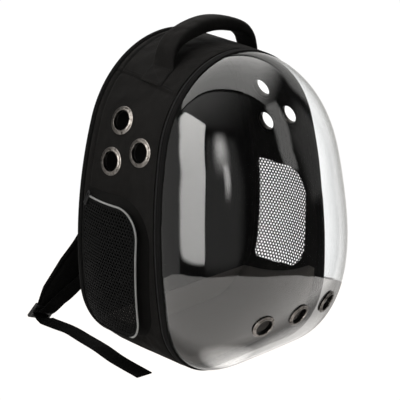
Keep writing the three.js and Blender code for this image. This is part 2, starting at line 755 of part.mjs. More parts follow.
for (const { name, sign } of SIDES) {
  const onSide = (geometry) => (sign > 0 ? geometry : mirrored(geometry));
  add(`pocket_gusset_${name}`, onSide(gusset), nylon);
  add(`pocket_mesh_${name}`, onSide(meshFace), meshCloth);
  add(`pocket_piping_${name}`, onSide(pocketPiping), reflective);
  add(`pocket_zip_pull_${name}`, onSide(pull), blackPlastic);
}

// Floor mat: flat on top, following the trough of the bottom panel below
const matShares = steps(-1, 1, 12);
const matYs = steps(MAT_BACK_Y, MAT_FRONT_Y, 4);

function matTrough(y) {
  const outline = sectionAt(shareAt(y, 0));
  return steps(0, 2, 80).map((station) => outline.at(station, WALL + GAP));
}

function matPoint(i, j, top) {
  const y = matYs[i];
  const trough = matTrough(y);
  const edge = trough.findLast(({ z }) => z < MAT_TOP - MAT_EDGE);
  const x = matShares[j] * edge.x;
  const below = trough.find((point) => point.x >= Math.abs(x) - GAP);
  return [x, y, top ? MAT_TOP : below.z + 2 * GAP];
}

add('floor_mat', sheet(
  matYs.length,
  matShares.length,
  (i, j) => matPoint(i, j, false),
  (i, j) => matPoint(i, j, true),
), matCloth);

// Carry handle, sewn flat to the top panel at both ends and padded round in the middle
const handleSection = sectionAt(shareAt(HANDLE_Y, BODY_HEIGHT));
const topCentre = handleSection.at(4).z - TOP_RADIUS;
const topSlope = BACK_HEIGHT_GAIN / (BAND_BACK_Y - bandFrontY(BODY_HEIGHT));
const sewnRadius = TOP_RADIUS + 2 * GAP + HANDLE_SEWN.thickness / 2;
const sewnRows = HANDLE_SEWN_ANGLES.map((degrees) => {
  const angle = THREE.MathUtils.degToRad(degrees);
  return {
    x: sewnRadius * Math.cos(angle),
    z: topCentre + sewnRadius * Math.sin(angle),
    wx: topSlope * Math.cos(angle),
    wz: topSlope * Math.sin(angle),
    ...HANDLE_SEWN,
  };
});
const halfHandle = [...sewnRows, ...HANDLE_ROWS].map((row) => ({ wx: 0, wz: 0, ...row, y: HANDLE_Y }));
const otherHalf = halfHandle.slice(0, -1).reverse().map((row) => ({ ...row, x: -row.x, wx: -row.wx }));
const handleRows = [...halfHandle, ...otherHalf];
const handleAcross = (read) => new THREE.Vector3(read('wx'), 1, read('wz'));
add('handle', strip(alongRows(handleRows, HANDLE_STEPS, handleAcross), PAD_SECTION), padding);

// Shoulder straps, buckles and webbing made on the right, mirrored to the left
const turnedAcross = (read) => {
  const turn = THREE.MathUtils.degToRad(read('turn'));
  return new THREE.Vector3(Math.cos(turn), Math.sin(turn), 0);
};
const strapSamples = alongRows(STRAP_ROWS, STRAP_STEPS, turnedAcross);
const strapEnd = strapSamples[strapSamples.length - 1];
const strap = strip(strapSamples, PAD_SECTION);

// The buckle's own axes: across the strap, down along it, and out of its face
const buckleDown = strapEnd.tangent.clone();
const slip = strapEnd.across.dot(buckleDown);
const buckleAcross = strapEnd.across.clone().addScaledVector(buckleDown, -slip).normalize();
const buckleOut = new THREE.Vector3().crossVectors(buckleAcross, buckleDown).normalize();
const buckleCentre = strapEnd.at.clone().addScaledVector(buckleDown, BUCKLE_DROP);
const buckleBasis = new THREE.Matrix4().makeBasis(buckleAcross, buckleDown, buckleOut);
buckleBasis.setPosition(buckleCentre);

function roundedRectangle(width, length, corner, offset = 0) {
  const [x, y] = [width / 2, length / 2];
  const shape = new THREE.Path();
  shape.moveTo(-x + corner, offset - y);
  shape.lineTo(x - corner, offset - y);
  shape.absarc(x - corner, offset - y + corner, corner, -Math.PI / 2, 0);
  shape.lineTo(x, offset + y - corner);
  shape.absarc(x - corner, offset + y - corner, corner, 0, Math.PI / 2);
  shape.lineTo(-x + corner, offset + y);
  shape.absarc(-x + corner, offset + y - corner, corner, Math.PI / 2, Math.PI);
  shape.lineTo(-x, offset - y + corner);
  shape.absarc(-x + corner, offset - y + corner, corner, Math.PI, 1.5 * Math.PI);
  return shape;
}

const buckleOutline = roundedRectangle(BUCKLE.width, BUCKLE.length, BUCKLE.corner);
const buckleShape = new THREE.Shape(buckleOutline.getPoints(2));
for (const side of [-1, 1]) {
  const { width, length, corner, offset } = BUCKLE_SLOT;
  buckleShape.holes.push(roundedRectangle(width, length, corner, side * offset));
}
const buckle = new THREE.ExtrudeGeometry(buckleShape, {
  depth: BUCKLE.thickness, bevelEnabled: false, curveSegments: 1,
});
buckle.translate(0, 0, -BUCKLE.thickness / 2).applyMatrix4(buckleBasis);

const barTurn = BAR_TURN_ROWS.map(({ down, out }) => {
  const at = new THREE.Vector3(0, down, out).applyMatrix4(buckleBasis);
  return { x: at.x, y: at.y, z: at.z, wx: buckleAcross.x, wy: buckleAcross.y, wz: buckleAcross.z };
});

function webbing(tailRows) {
  const route = [...WEBBING_ANCHOR_ROWS, ...barTurn, ...tailRows];
  const rows = route.map((row) => ({ wz: 0, ...row, ...WEBBING }));
  const across = (read) => new THREE.Vector3(read('wx'), read('wy'), read('wz'));
  return strip(alongRows(rows, 2 * rows.length - 2, across), FLAT_SECTION);
}

for (const { name, sign } of SIDES) {
  const onSide = (geometry) => (sign > 0 ? geometry : mirrored(geometry));
  add(`shoulder_strap_${name}`, onSide(strap), padding);
  add(`strap_buckle_${name}`, onSide(buckle), blackPlastic);
  add(`strap_webbing_${name}`, onSide(webbing(sign > 0 ? RIGHT_TAIL_ROWS : LEFT_TAIL_ROWS)), edgeTape);
}

export default backpack;
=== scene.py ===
# Pet carrier backpack: a black cloth body with a clear hard dome, mesh pockets and padded straps.
# Metres, +Z up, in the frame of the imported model. The dome faces -Y and the wearer's back is at +Y.
import math
from contextlib import contextmanager
from functools import lru_cache

import bpy
import numpy as np
from mathutils import Matrix, Vector, noise


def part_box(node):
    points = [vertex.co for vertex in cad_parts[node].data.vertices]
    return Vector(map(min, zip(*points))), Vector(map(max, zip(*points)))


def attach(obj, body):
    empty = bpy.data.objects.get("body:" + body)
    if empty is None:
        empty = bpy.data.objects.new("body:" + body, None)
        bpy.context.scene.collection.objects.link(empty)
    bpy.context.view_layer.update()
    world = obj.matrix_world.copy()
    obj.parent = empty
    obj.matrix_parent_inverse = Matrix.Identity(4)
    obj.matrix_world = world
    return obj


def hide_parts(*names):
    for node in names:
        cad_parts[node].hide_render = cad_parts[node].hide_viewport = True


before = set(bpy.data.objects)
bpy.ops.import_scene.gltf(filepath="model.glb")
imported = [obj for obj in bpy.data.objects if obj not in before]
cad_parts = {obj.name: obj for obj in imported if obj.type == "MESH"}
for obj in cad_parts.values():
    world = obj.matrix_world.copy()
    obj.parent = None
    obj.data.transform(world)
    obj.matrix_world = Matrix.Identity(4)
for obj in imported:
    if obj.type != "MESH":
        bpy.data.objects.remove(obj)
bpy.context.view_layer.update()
scene = bpy.context.scene
MM = 0.001

# Camera
# A long lens a little above the bag, turned towards its left side so that the dome and one pocket show.
CAMERA_AZIMUTH = math.radians(-44.3)
CAMERA_RISE = math.radians(18.2)
CAMERA_DISTANCE = 2.0
CAMERA_TARGET = Vector((-0.0214, 0, 0.2083))
PICTURE_SIDE = 400
FOCAL_PIXELS = 1467
SENSOR_WIDTH = 36

camera_way = Vector((
    math.sin(CAMERA_AZIMUTH) * math.cos(CAMERA_RISE),
    -math.cos(CAMERA_AZIMUTH) * math.cos(CAMERA_RISE),
    math.sin(CAMERA_RISE),
))
bpy.ops.object.camera_add(
    location=CAMERA_TARGET + CAMERA_DISTANCE * camera_way,
    rotation=camera_way.to_track_quat("Z", "Y").to_euler(),
)
scene.camera = bpy.context.object
scene.camera.data.sensor_width = SENSOR_WIDTH
scene.camera.data.lens = FOCAL_PIXELS * SENSOR_WIDTH / PICTURE_SIDE

# Floor and light
# A white table in a dark room. Wide lamps light the cloth, and cards that only mirrors see stand in for
# the ceiling, the tall window and the walls that show in the dome.
FLOOR_EDGE = [
    (-0.46, 0.17), (-0.52, 0.13), (-0.63, 0.06), (-0.70, -0.08), (-0.68, -0.22), (-0.66, -0.33),
    (-0.60, -0.42), (-0.53, -0.50), (-0.44, -0.55), (-0.33, -0.57), (-0.24, -0.55), (-0.13, -0.51),
    (-0.06, -0.47), (0.01, -0.43), (0.06, -0.40), (0.10, -0.37), (0.14, -0.34), (0.17, -0.30), (0.20, -0.27),
    (0.22, -0.24), (0.29, -0.12), (0.30, 0.02), (0.26, 0.2), (0.1, 0.5), (-0.2, 0.6), (-0.42, 0.4),
]
FLOOR_DROP = 0.4 * MM
FLOOR_COLOUR = (1, 0.97, 0.94, 1)
# The table's glow as the camera, mirrors, sight through the dome and scattered light see it; the lower glow
# through the dome is painted shade of the bag's shadow
FLOOR_DIRECT = 1.1
FLOOR_LIT = 1.3
FLOOR_THROUGH = 0.45
FLOOR_SCATTERED = 0.3
# Ovals of other brightness on the table, as mirrors see it: the bag's shadow, and in it the strip under the
# dome and the patch at its left end, where light comes through the dome
FLOOR_OVALS = [
    {"middle": (0.12, 0, 0), "half": (0.34, 0.19, 1), "edge": (0.9, 1.3), "light": 0.4},
    {"middle": (0.02, -0.125, 0), "half": (0.13, 0.036, 1), "edge": (0.3, 1.3), "light": 1.0},
    {"middle": (-0.09, -0.132, 0), "half": (0.055, 0.03, 1), "edge": (0.1, 1.4), "light": 2.8},
]
BACKGROUND_LIGHT = 1.02
THROUGH_LIGHT = 1.3
MIRRORED_LIGHT = 0.02
SOFT_FILL_LIGHT = 0.07
UNLIT = {"Base Color": (0, 0, 0, 1), "Specular IOR Level": 0}
# Light is what a lamp or card sends out of every square metre
LAMPS = [
    {"name": "ceiling_fill", "at": (0, 0, 2.2), "aim": (0, 0, 0), "side": 3, "light": 0.32},
    {"name": "left_fill", "at": (-1.9, 0.6, 1.4), "aim": (0, 0, 0.25), "side": 1.6, "light": 1.75},
    {"name": "back_fill", "at": (0.8, 2.4, 0.5), "aim": (0, 0.1, 0.25), "side": 1.6, "light": 6.0},
    {"name": "right_fill", "at": (2.1, 0.5, 0.7), "aim": (0, 0, 0.25), "side": 1.6, "light": 1.3},
]
# A card's rows run from its low to its high edge, each from its left to its right end. Its light goes from
# the low to the high edge, and fades towards its left, right, low and high edges over these shares of it.
CARD_COLOUR = (1, 0.99, 0.965, 1)
CARDS = [
    {"name": "ceiling", "light": (3.0, 3.0), "fade": (0.05, 0.31, 0.01, 0.1), "rows": [
        ((-1.22, 1.04, 1.8), (0.93, -1.33, 1.8)), ((0.56, 2.66, 1.8), (2.71, 0.28, 1.8)),
    ]},
    {"name": "ceiling_front", "light": (0.1, 1.0), "fade": (0.1, 0.6, 0.2, 0.02), "rows": [
        ((-2.33, 0.03, 1.8), (-0.52, -1.96, 1.8)), ((-1.26, 1.0, 1.8), (0.55, -1.0, 1.8)),
    ]},
    {"name": "beam", "light": (2.0, 2.0), "fade": (0.25, 0.25, 0.1, 0.1), "rows": [
        ((0.30, -1.47, 0.60), (0.72, -1.31, 0.52)), ((0.32, -1.47, 0.99), (0.77, -1.29, 0.82)),
        ((0.52, -1.41, 1.46), (1.06, -1.06, 1.34)), ((0.76, -1.29, 2.14), (1.21, -0.88, 1.79)),
    ]},
    {"name": "tall_window", "light": (7.6, 12.2), "fade": (0.22, 0.05, 0.04, 0.04), "rows": [
        ((-1.50, 0.04, -0.12), (-1.31, -0.74, -0.12)), ((-1.50, 0.05, 0.10), (-1.30, -0.75, 0.10)),
        ((-1.50, 0.11, 0.38), (-1.31, -0.73, 0.38)), ((-1.47, 0.28, 0.66), (-1.32, -0.71, 0.66)),
        ((-1.44, 0.42, 1.00), (-1.33, -0.69, 1.00)), ((-1.22, 0.88, 1.45), (-1.34, -0.67, 1.45)),
        ((-1.25, 0.80, 1.88), (-1.35, -0.65, 1.88)),
    ]},
    {"name": "thin_window", "light": (7, 7), "fade": (0.4, 0.4, 0.35, 0.35), "rows": [
        ((-1.06, -1.08, 0.28), (-0.90, -1.20, 0.28)), ((-1.08, -1.05, 0.80), (-0.92, -1.18, 0.80)),
    ]},
    {"name": "soft_glow", "light": (8, 8), "fade": (0.5, 0.5, 0.5, 0.5), "rows": [
        ((-1.27, -0.87, 0.45), (-0.86, -1.25, 0.45)), ((-1.27, -0.87, 1.72), (-0.86, -1.25, 1.72)),
    ]},
    {"name": "front_wall", "light": (0.4, 0.4), "fade": (0.1, 0.25, 0.1, 0.2), "rows": [
        ((-1.55, -0.80, -0.3), (-0.71, -1.57, -0.3)), ((-1.55, -0.80, 1.7), (-0.71, -1.57, 1.7)),
    ]},
    {"name": "right_front_wall", "light": (0.4, 0.4), "fade": (0.3, 0.2, 0.2, 0.3), "rows": [
        ((0.80, -1.45, -0.1), (1.60, -0.45, -0.1)), ((0.80, -1.45, 1.4), (1.60, -0.45, 1.4)),
    ]},
    {"name": "left_wall", "light": (0.65, 0.6), "fade": (0.1, 0.05, 0.05, 0.1), "rows": [
        ((-1.0, 1.7, -0.55), (-1.9, 0.0, -0.55)), ((-1.0, 1.7, 1.6), (-1.9, 0.0, 1.6)),
    ]},
    {"name": "right_wall", "light": (1.1, 0.8), "fade": (0.1, 0.2, 0.05, 0.1), "rows": [
        ((1.50, -0.35, -1.0), (0.9, 1.9, -1.0)), ((1.50, -0.35, 1.3), (0.9, 1.9, 1.3)),
    ]},
]


def fill(tree, node, inputs):
    """Fills a node's inputs, in order or by name, with values or sockets."""
    for key, value in inputs.items() if isinstance(inputs, dict) else enumerate(inputs):
        if isinstance(value, bpy.types.NodeSocket):
            tree.links.new(value, node.inputs[key])
        else:
            node.inputs[key].default_value = value
    return node


def add_node(tree, kind, inputs=(), **settings):
    """Adds a node with its settings and inputs, and gives its outputs."""
    node = tree.nodes.new(kind)
    for key, value in settings.items():
        setattr(node, key, value)
    return fill(tree, node, inputs).outputs


def arithmetic(tree, operation, *values):
    """The output of a maths node."""
    return add_node(tree, "ShaderNodeMath", values, operation=operation)[0]


def blended(tree, share, low, high):
    """A value between two others."""
    return add_node(tree, "ShaderNodeMix", {0: share, 2: low, 3: high}, data_type="FLOAT")[0]


def graded(tree, value, begins=0.0, ends=1.0, low=0.0, high=1.0, kind="LINEAR"):
    """A value that goes from low to high while another passes between two limits."""
    limits = {"Value": value, "From Min": begins, "From Max": ends, "To Min": low, "To Max": high}
    return add_node(tree, "ShaderNodeMapRange", limits, interpolation_type=kind)[0]


def by_ray(tree, level, levels):
    """A level of light, replaced in turn for each kind of ray."""
    path = add_node(tree, "ShaderNodeLightPath")
    for kind, light in levels.items():
        share = arithmetic(tree, "GREATER_THAN", path[kind], 0.5) if "Depth" in kind else path[kind]
        level = blended(tree, share, level, light)
    return level


def object_place(tree):
    """The place in the piece's own axes."""
    return add_node(tree, "ShaderNodeTexCoord")["Object"]


def new_material(name):
    """A material with its node tree and its Principled shader."""
    material = bpy.data.materials.new(name)
    material.use_nodes = True
    return material, material.node_tree, material.node_tree.nodes["Principled BSDF"]


def named(piece, name):
    """Names a piece and its data."""
    piece.name = name
    piece.data.name = name
    return piece


bpy.ops.mesh.primitive_circle_add(vertices=len(FLOOR_EDGE), fill_type="NGON")
floor = named(bpy.context.object, "floor")
for vertex, (x, y) in zip(floor.data.vertices, FLOOR_EDGE):
    vertex.co = (x, y, -FLOOR_DROP)
table, tree, shader = new_material("white_table")
place = object_place(tree)
mirrored = FLOOR_LIT
for oval in FLOOR_OVALS:
    across = place
    for operation, key in (("SUBTRACT", "middle"), ("DIVIDE", "half")):
        across = add_node(tree, "ShaderNodeVectorMath", [across, oval[key]], operation=operation)[0]
    away = add_node(tree, "ShaderNodeVectorMath", [across, across], operation="DOT_PRODUCT")["Value"]
    mirrored = blended(tree, graded(tree, away, *oval["edge"]), oval["light"], mirrored)
levels = {"Glossy Depth": mirrored, "Diffuse Depth": FLOOR_SCATTERED, "Is Camera Ray": FLOOR_DIRECT}
glow = by_ray(tree, FLOOR_THROUGH, levels)
fill(tree, shader, {"Emission Strength": glow, "Emission Color": FLOOR_COLOUR, **UNLIT})
floor.data.materials.append(table)

for lamp in LAMPS:
    turn = (Vector(lamp["at"]) - Vector(lamp["aim"])).to_track_quat("Z", "Y").to_euler()
    bpy.ops.object.light_add(type="AREA", location=lamp["at"], rotation=turn)
    light = named(bpy.context.object, lamp["name"])
    light.data.size = lamp["side"]
    light.data.energy = lamp["light"] * math.pi * lamp["side"] ** 2
    for way in ("visible_camera", "visible_transmission", "visible_glossy"):
        setattr(light, way, False)


def card_material(name, light, fade):
    """Light that fades towards a card's four edges and is added to what is behind it."""
    material, tree, shader = new_material(name)
    across, up, _ = add_node(tree, "ShaderNodeSeparateXYZ", [add_node(tree, "ShaderNodeTexCoord")["UV"]])
    level = graded(tree, up, low=light[0], high=light[1])
    ways = (across, arithmetic(tree, "SUBTRACT", 1, across), up, arithmetic(tree, "SUBTRACT", 1, up))
    for inside, share in zip(ways, fade):
        level = arithmetic(tree, "MULTIPLY", level, graded(tree, inside, ends=share, kind="SMOOTHSTEP"))
    fill(tree, shader, {"Emission Strength": level, "Emission Color": CARD_COLOUR, **UNLIT})
    clear = add_node(tree, "ShaderNodeBsdfTransparent")[0]
    both = add_node(tree, "ShaderNodeAddShader", [shader.outputs[0], clear])[0]
    fill(tree, tree.nodes["Material Output"], {"Surface": both})
    return material


for card in CARDS:
    rows = card["rows"]
    bpy.ops.mesh.primitive_grid_add(x_subdivisions=1, y_subdivisions=len(rows) - 1, size=1)
    board = named(bpy.context.object, card["name"])
    for vertex, place in zip(board.data.vertices, [end for row in rows for end in row], strict=True):
        vertex.co = place
    board.data.materials.append(card_material(card["name"], card["light"], card["fade"]))
    for way in ("visible_camera", "visible_diffuse", "visible_transmission", "visible_shadow"):
        setattr(board, way, False)

scene.world = bpy.data.worlds.new("studio")
scene.world.use_nodes = True
sky = scene.world.node_tree
levels = {
    "Transmission Depth": THROUGH_LIGHT, "Diffuse Depth": SOFT_FILL_LIGHT, "Glossy Depth": MIRRORED_LIGHT,
}
level = by_ray(sky, BACKGROUND_LIGHT, levels)
fill(sky, sky.nodes["Background"], {"Color": (1, 1, 1, 1), "Strength": level})
scene.view_settings.view_transform = "Standard"

# Cloth band
# The body is a hoop of black nylon, lined and lightly padded, sewn from a top, a bottom and two side panels.
# Each panel is cut to the bag's outline and meets its neighbours in a stitched seam.
BODY_HEIGHT = 420 * MM
FRONT_WIDTH = 320 * MM
WIDEST_HEIGHT = 152 * MM
TOP_RADIUS = 145 * MM
FRONT_CORNER_RADIUS = 88 * MM
BACK_CORNER_RADIUS = 106 * MM
BACK_SPREAD = 6.5 * MM
BACK_HEIGHT_GAIN = 9 * MM
BACK_BOTTOM_RISE = 5 * MM
BACK_RISE_SHARE = 0.16
FRONT_BOTTOM_Y = -82.5 * MM
FRONT_LEAN = 32 * MM
BAND_BACK_Y = 78 * MM
BINDING_DEPTH = 7 * MM
ZIP_DEPTH = 6 * MM
SEAT_GAP = 0.3 * MM
RIM_TRIM_DEPTH = BINDING_DEPTH + ZIP_DEPTH + 2 * SEAT_GAP
BAND_DEPTH = BAND_BACK_Y - FRONT_BOTTOM_Y - RIM_TRIM_DEPTH
CLOTH_WALL = 3 * MM
SHOULDER_SEAM = 3.39
CORNER_SEAM = 1.5
SEAM_OVERLAP = 0.0003
PANEL_ROWS = 72
PANEL_PUFF = 1.2 * MM
PANEL_RIPPLE = 0.9 * MM
RIPPLE_LENGTH = 46 * MM
CREASE = 0.5 * MM
CREASE_LENGTH = 19 * MM
SEAM_PINCH = 5 * MM
FOOT_REACH = 25 * MM
BACK_SEAM = 11 * MM
BACK_SEAM_DEPTH = 2.6 * MM
BACK_SEAM_WIDTH = 2.2 * MM
END_SEAM_DEPTH = 1.6 * MM
END_SEAM_WIDTH = 2.6 * MM
# Places of the vents in the side walls, Y and Z, where the cloth lies flat under the metal rings
EYELET_PLACES = {"top": (29 * MM, 336 * MM), "back": (34 * MM, 283 * MM), "front": (-15 * MM, 303 * MM)}
EYELET_REACH = 27 * MM
NYLON_COLOUR = (0.0160, 0.0151, 0.0142)
# Shares of the dye, the threads and the speckle in a cloth's tone, and how far that darkens and lightens it
DYE_SHARE = 0.7
THREAD_SHARE = 0.22
SPECKLE_SHARE = 0.25
TONE_LIMITS = (0.25, 0.95)
TONE_CHANGES = (-0.4, 0.45)


def mix(a, b, share):
    return a + (b - a) * share


@lru_cache(maxsize=None)
def outline_arcs(share):
    """The body's outline at one depth, share 0 at the back and 1 at the rim: its floor and its three arcs."""
    half_width = FRONT_WIDTH / 2 + BACK_SPREAD * (1 - share**2)
    bottom = BACK_BOTTOM_RISE * max(0.0, 1 - share / BACK_RISE_SHARE)
    corner_radius = mix(BACK_CORNER_RADIUS, FRONT_CORNER_RADIUS, share)
    top_centre = BODY_HEIGHT + BACK_HEIGHT_GAIN * (1 - share) - TOP_RADIUS
    rise = top_centre - WIDEST_HEIGHT
    side_radius = (half_width**2 + rise**2 - TOP_RADIUS**2) / (2 * (half_width - TOP_RADIUS))
    side_centre = half_width - side_radius
    corner_height = bottom + corner_radius
    drop = corner_height - WIDEST_HEIGHT
    corner_centre = side_centre + math.sqrt((side_radius - corner_radius) ** 2 - drop**2)
    corner_end = math.atan2(drop, corner_centre - side_centre)
    side_end = math.atan2(rise, -side_centre)
    arcs = (
        (corner_centre, corner_height, corner_radius, -math.pi / 2, corner_end),
        (side_centre, WIDEST_HEIGHT, side_radius, corner_end, side_end),
        (0.0, top_centre, TOP_RADIUS, side_end, math.pi / 2),
    )
    return bottom, arcs


def outline_point(share, station, inset=0.0):
    """X and Z on the outline. Stations: 0 bottom, 1 corner, 2 side, 3 top arc, 4 top, mirrored to 8."""
    bottom, arcs = outline_arcs(share)
    turn = station % 8
    half = turn if turn <= 4 else 8 - turn
    side = 1 if turn <= 4 else -1
    if half < 1:
        return side * half * arcs[0][0], bottom + inset
    number = min(int(half), 3)
    x, z, radius, start, end = arcs[number - 1]
    angle = mix(start, end, half - number)
    return side * (x + (radius - inset) * math.cos(angle)), z + (radius - inset) * math.sin(angle)


def rim_y(z):
    return FRONT_BOTTOM_Y + FRONT_LEAN * z / BODY_HEIGHT


def band_point(station, share, inset=0.0):
    """A place on the cloth band, inset from its outer face."""
    height = outline_point(share, station)[1]
    x, z = outline_point(share, station, inset)
    return Vector((x, mix(BAND_BACK_Y, rim_y(height) + RIM_TRIM_DEPTH, share), z))


def running_length(line):
    """The length along a line up to each of its points."""
    return np.concatenate([[0], np.cumsum(np.linalg.norm(np.diff(line, axis=0), axis=1))])


def points_at(line, length, places):
    """Points at given lengths along a line."""
    return np.stack([np.interp(places, length, axis) for axis in np.array(line).T], axis=1)


def even_stations(first, last, count, share=0.5):
    """Stations that split a stretch of the outline into equal lengths, and its length."""
    fine = np.linspace(first, last, 1200)
    length = running_length([outline_point(share, station) for station in fine])
    return np.interp(np.linspace(0, length[-1], count + 1), length, fine), length[-1]


def even_line(points, pitch):
    """Points at an equal pitch along a line."""
    line = [tuple(point) for point in points]
    length = running_length(line)
    return [Vector(point) for point in points_at(line, length, np.arange(0, length[-1], pitch))]


def activate(piece):
    """Selects one piece alone."""
    bpy.ops.object.select_all(action="DESELECT")
    piece.select_set(True)
    bpy.context.view_layer.objects.active = piece


@contextmanager
def editing(piece):
    """Edit mode with all of one piece selected."""
    activate(piece)
    bpy.ops.object.mode_set(mode="EDIT")
    bpy.ops.mesh.select_all(action="SELECT")
    yield
    bpy.ops.object.mode_set(mode="OBJECT")


def apply_modifier(piece, kind, **settings):
    """Adds a modifier with its settings and applies it at once."""
    activate(piece)
    modifier = piece.modifiers.new(kind.lower(), kind)
    for key, value in settings.items():
        setattr(modifier, key, value)
    bpy.ops.object.modifier_apply(modifier=modifier.name)


def close_up(piece, capped=False):
    """Merges the edges where a grid meets itself, closes open ends if asked, and turns faces outwards."""
    with editing(piece):
        bpy.ops.mesh.remove_doubles(threshold=0.00001)
        if capped:
            bpy.ops.mesh.select_all(action="DESELECT")
            bpy.ops.mesh.select_non_manifold()
            bpy.ops.mesh.fill_holes(sides=0)
        bpy.ops.mesh.select_all(action="SELECT")
        bpy.ops.mesh.normals_make_consistent(inside=False)


def smooth(piece, degrees=40):
    """Shades a piece smooth, with its sharp edges kept."""
    activate(piece)
    bpy.ops.object.shade_smooth_by_angle(angle=math.radians(degrees))


def laid_grid(name, columns, rows, place, size=(1, 1)):
    """A grid laid on a surface, its UV map in metres: place turns shares along its sides into a point."""
    bpy.ops.mesh.primitive_grid_add(x_subdivisions=columns, y_subdivisions=rows, size=1)
    piece = named(bpy.context.object, name)
    for vertex in piece.data.vertices:
        vertex.co = place(vertex.co.x + 0.5, vertex.co.y + 0.5)
    for corner in piece.data.uv_layers[0].uv:
        corner.vector = (corner.vector.x * size[0], corner.vector.y * size[1])
    return piece


def meshed(name, points, faces):
    """A piece made of points and faces."""
    mesh = bpy.data.meshes.new(name)
    mesh.from_pydata(points, [], faces)
    piece = bpy.data.objects.new(name, mesh)
    scene.collection.objects.link(piece)
    return piece


def cut_out(piece, cutter):
    """Cuts one shape out of a piece."""
    apply_modifier(piece, "BOOLEAN", object=cutter, operation="DIFFERENCE", solver="EXACT")
    bpy.data.objects.remove(cutter)


def dress(piece, material, slot, *nodes):
    """Gives a piece its finish, hangs it on the root, and hides the solids it stands for."""
    piece.data.materials.clear()
    piece.data.materials.append(material)
    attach(piece, "root")
    if nodes:
        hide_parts(*nodes)


def new_group(name, inputs, outputs):
    """A shader node group with its sockets, and what is given to it."""
    group = bpy.data.node_groups.new(name, "ShaderNodeTree")
    for way, sockets in (("INPUT", inputs), ("OUTPUT", outputs)):
        for socket in sockets:
            kind = "NodeSocketVector" if socket == "Vector" else "NodeSocketFloat"
            group.interface.new_socket(socket, in_out=way, socket_type=kind)
    return group, add_node(group, "NodeGroupInput")


def noise_value(tree, place, scale, detail):
    """A noise texture's value."""
    return add_node(tree, "ShaderNodeTexNoise", {"Vector": place, "Scale": scale, "Detail": detail})[0]


def bumped(tree, height, strength, distance, **normal):
    """A surface direction that a height has roughened."""
    inputs = {"Strength": strength, "Distance": distance, "Height": height, **normal}
    return add_node(tree, "ShaderNodeBump", inputs)[0]


def two_tone(tree, value, limits, dark, light):
    """A colour that goes from dark to light while a value passes between two limits."""
    ramp = tree.nodes.new("ShaderNodeValToRGB")
    for element, limit, colour in zip(ramp.color_ramp.elements, limits, (dark, light)):
        element.position = limit
        element.color = (*colour, 1)
    return fill(tree, ramp, [value]).outputs["Color"]


# Plain weave: threads that pass over and under each other, with the pitch of one thread
WEAVE, given = new_group("plain_weave", ["Vector", "Pitch"], ["Height"])
ribs = []
counts = []
for axis in add_node(WEAVE, "ShaderNodeSeparateXYZ", [given["Vector"]])[:2]:
    place = arithmetic(WEAVE, "DIVIDE", axis, given["Pitch"])
    counts.append(arithmetic(WEAVE, "FLOOR", place))
    turn = arithmetic(WEAVE, "MULTIPLY", arithmetic(WEAVE, "FRACT", place), math.pi)
    ribs.append(arithmetic(WEAVE, "SINE", turn))
over = arithmetic(WEAVE, "FLOORED_MODULO", arithmetic(WEAVE, "ADD", *counts), 2.0)
add_node(WEAVE, "NodeGroupOutput", [blended(WEAVE, over, *ribs)])

# Uneven dye and rubbed lint: a slow tone over a hand's width and a fine speckle, both about one half
UNEVEN, given = new_group("uneven_dye", ["Vector"], ["Tone", "Speckle"])
uneven_parts = [noise_value(UNEVEN, given[0], scale, detail) for scale, detail in ((14.0, 3.0), (900.0, 2.0))]
add_node(UNEVEN, "NodeGroupOutput", uneven_parts)


def cloth_material(
    name, colour, pitch, roughness=0.75, sheen=0.02, relief=0.12 * MM, stretch=(1, 1, 1), gloss=0.03,
    contrast=1, folds=1.5 * MM,
):
    """Woven cloth: thread relief from the piece's UV map in metres, with uneven dye and slight folds."""
    material, tree, shader = new_material(name)
    uv = add_node(tree, "ShaderNodeUVMap")[0]
    spread = add_node(tree, "ShaderNodeMapping", {"Vector": uv, "Scale": stretch})[0]
    threads = add_node(tree, "ShaderNodeGroup", {"Vector": spread, "Pitch": pitch}, node_tree=WEAVE)[0]
    tone, speckle = add_node(tree, "ShaderNodeGroup", {"Vector": object_place(tree)}, node_tree=UNEVEN)
    shade = arithmetic(tree, "MULTIPLY", tone, DYE_SHARE)
    shade = arithmetic(tree, "MULTIPLY_ADD", threads, THREAD_SHARE, shade)
    shade = arithmetic(tree, "MULTIPLY_ADD", speckle, SPECKLE_SHARE, shade)
    tones = ([(1 + change * contrast) * value for value in colour] for change in TONE_CHANGES)
    slack = bumped(tree, tone, 1.0, folds)
    fill(tree, shader, {
        "Base Color": two_tone(tree, shade, TONE_LIMITS, *tones),
        "Roughness": arithmetic(tree, "MULTIPLY_ADD", speckle, 0.2, roughness - 0.1),
        "Normal": bumped(tree, threads, 0.5, relief, Normal=slack),
        "Sheen Weight": sheen, "Sheen Roughness": 0.4, "Specular IOR Level": gloss,
    })
    return material


nylon = cloth_material("black_nylon", NYLON_COLOUR, 0.7 * MM, folds=16 * MM)


def cloth_rise(flat, end, share):
    """How far a panel's cloth stands out: crowned between its seams, rippled, and sunk at the seams."""
    edge = min(end, min(share, 1 - share) * BAND_DEPTH)
    held = (1 - math.exp(-edge / SEAM_PINCH)) * min(max(flat.z, 0.0) / FOOT_REACH, 1.0)
    for y, z in EYELET_PLACES.values():
        away = math.hypot(flat.y - y, flat.z - z) / EYELET_REACH
        held *= min(1.0, away**4) if abs(flat.x) > TOP_RADIUS / 2 else 1.0
    ripple = PANEL_RIPPLE * noise.noise(flat / RIPPLE_LENGTH) + CREASE * noise.noise(flat / CREASE_LENGTH)
    sunk = BACK_SEAM_DEPTH * math.exp(-(((share * BAND_DEPTH - BACK_SEAM) / BACK_SEAM_WIDTH) ** 2))
    sunk += END_SEAM_DEPTH * math.exp(-((end / END_SEAM_WIDTH) ** 2))
    return held * (PANEL_PUFF + ripple) - sunk


def panel_point(station, share, end, lift=0.0):
    """A place on a panel's outer face, at a distance from the nearest seam."""
    rise = cloth_rise(band_point(station, share), end, share)
    return band_point(station, share, -rise - lift)


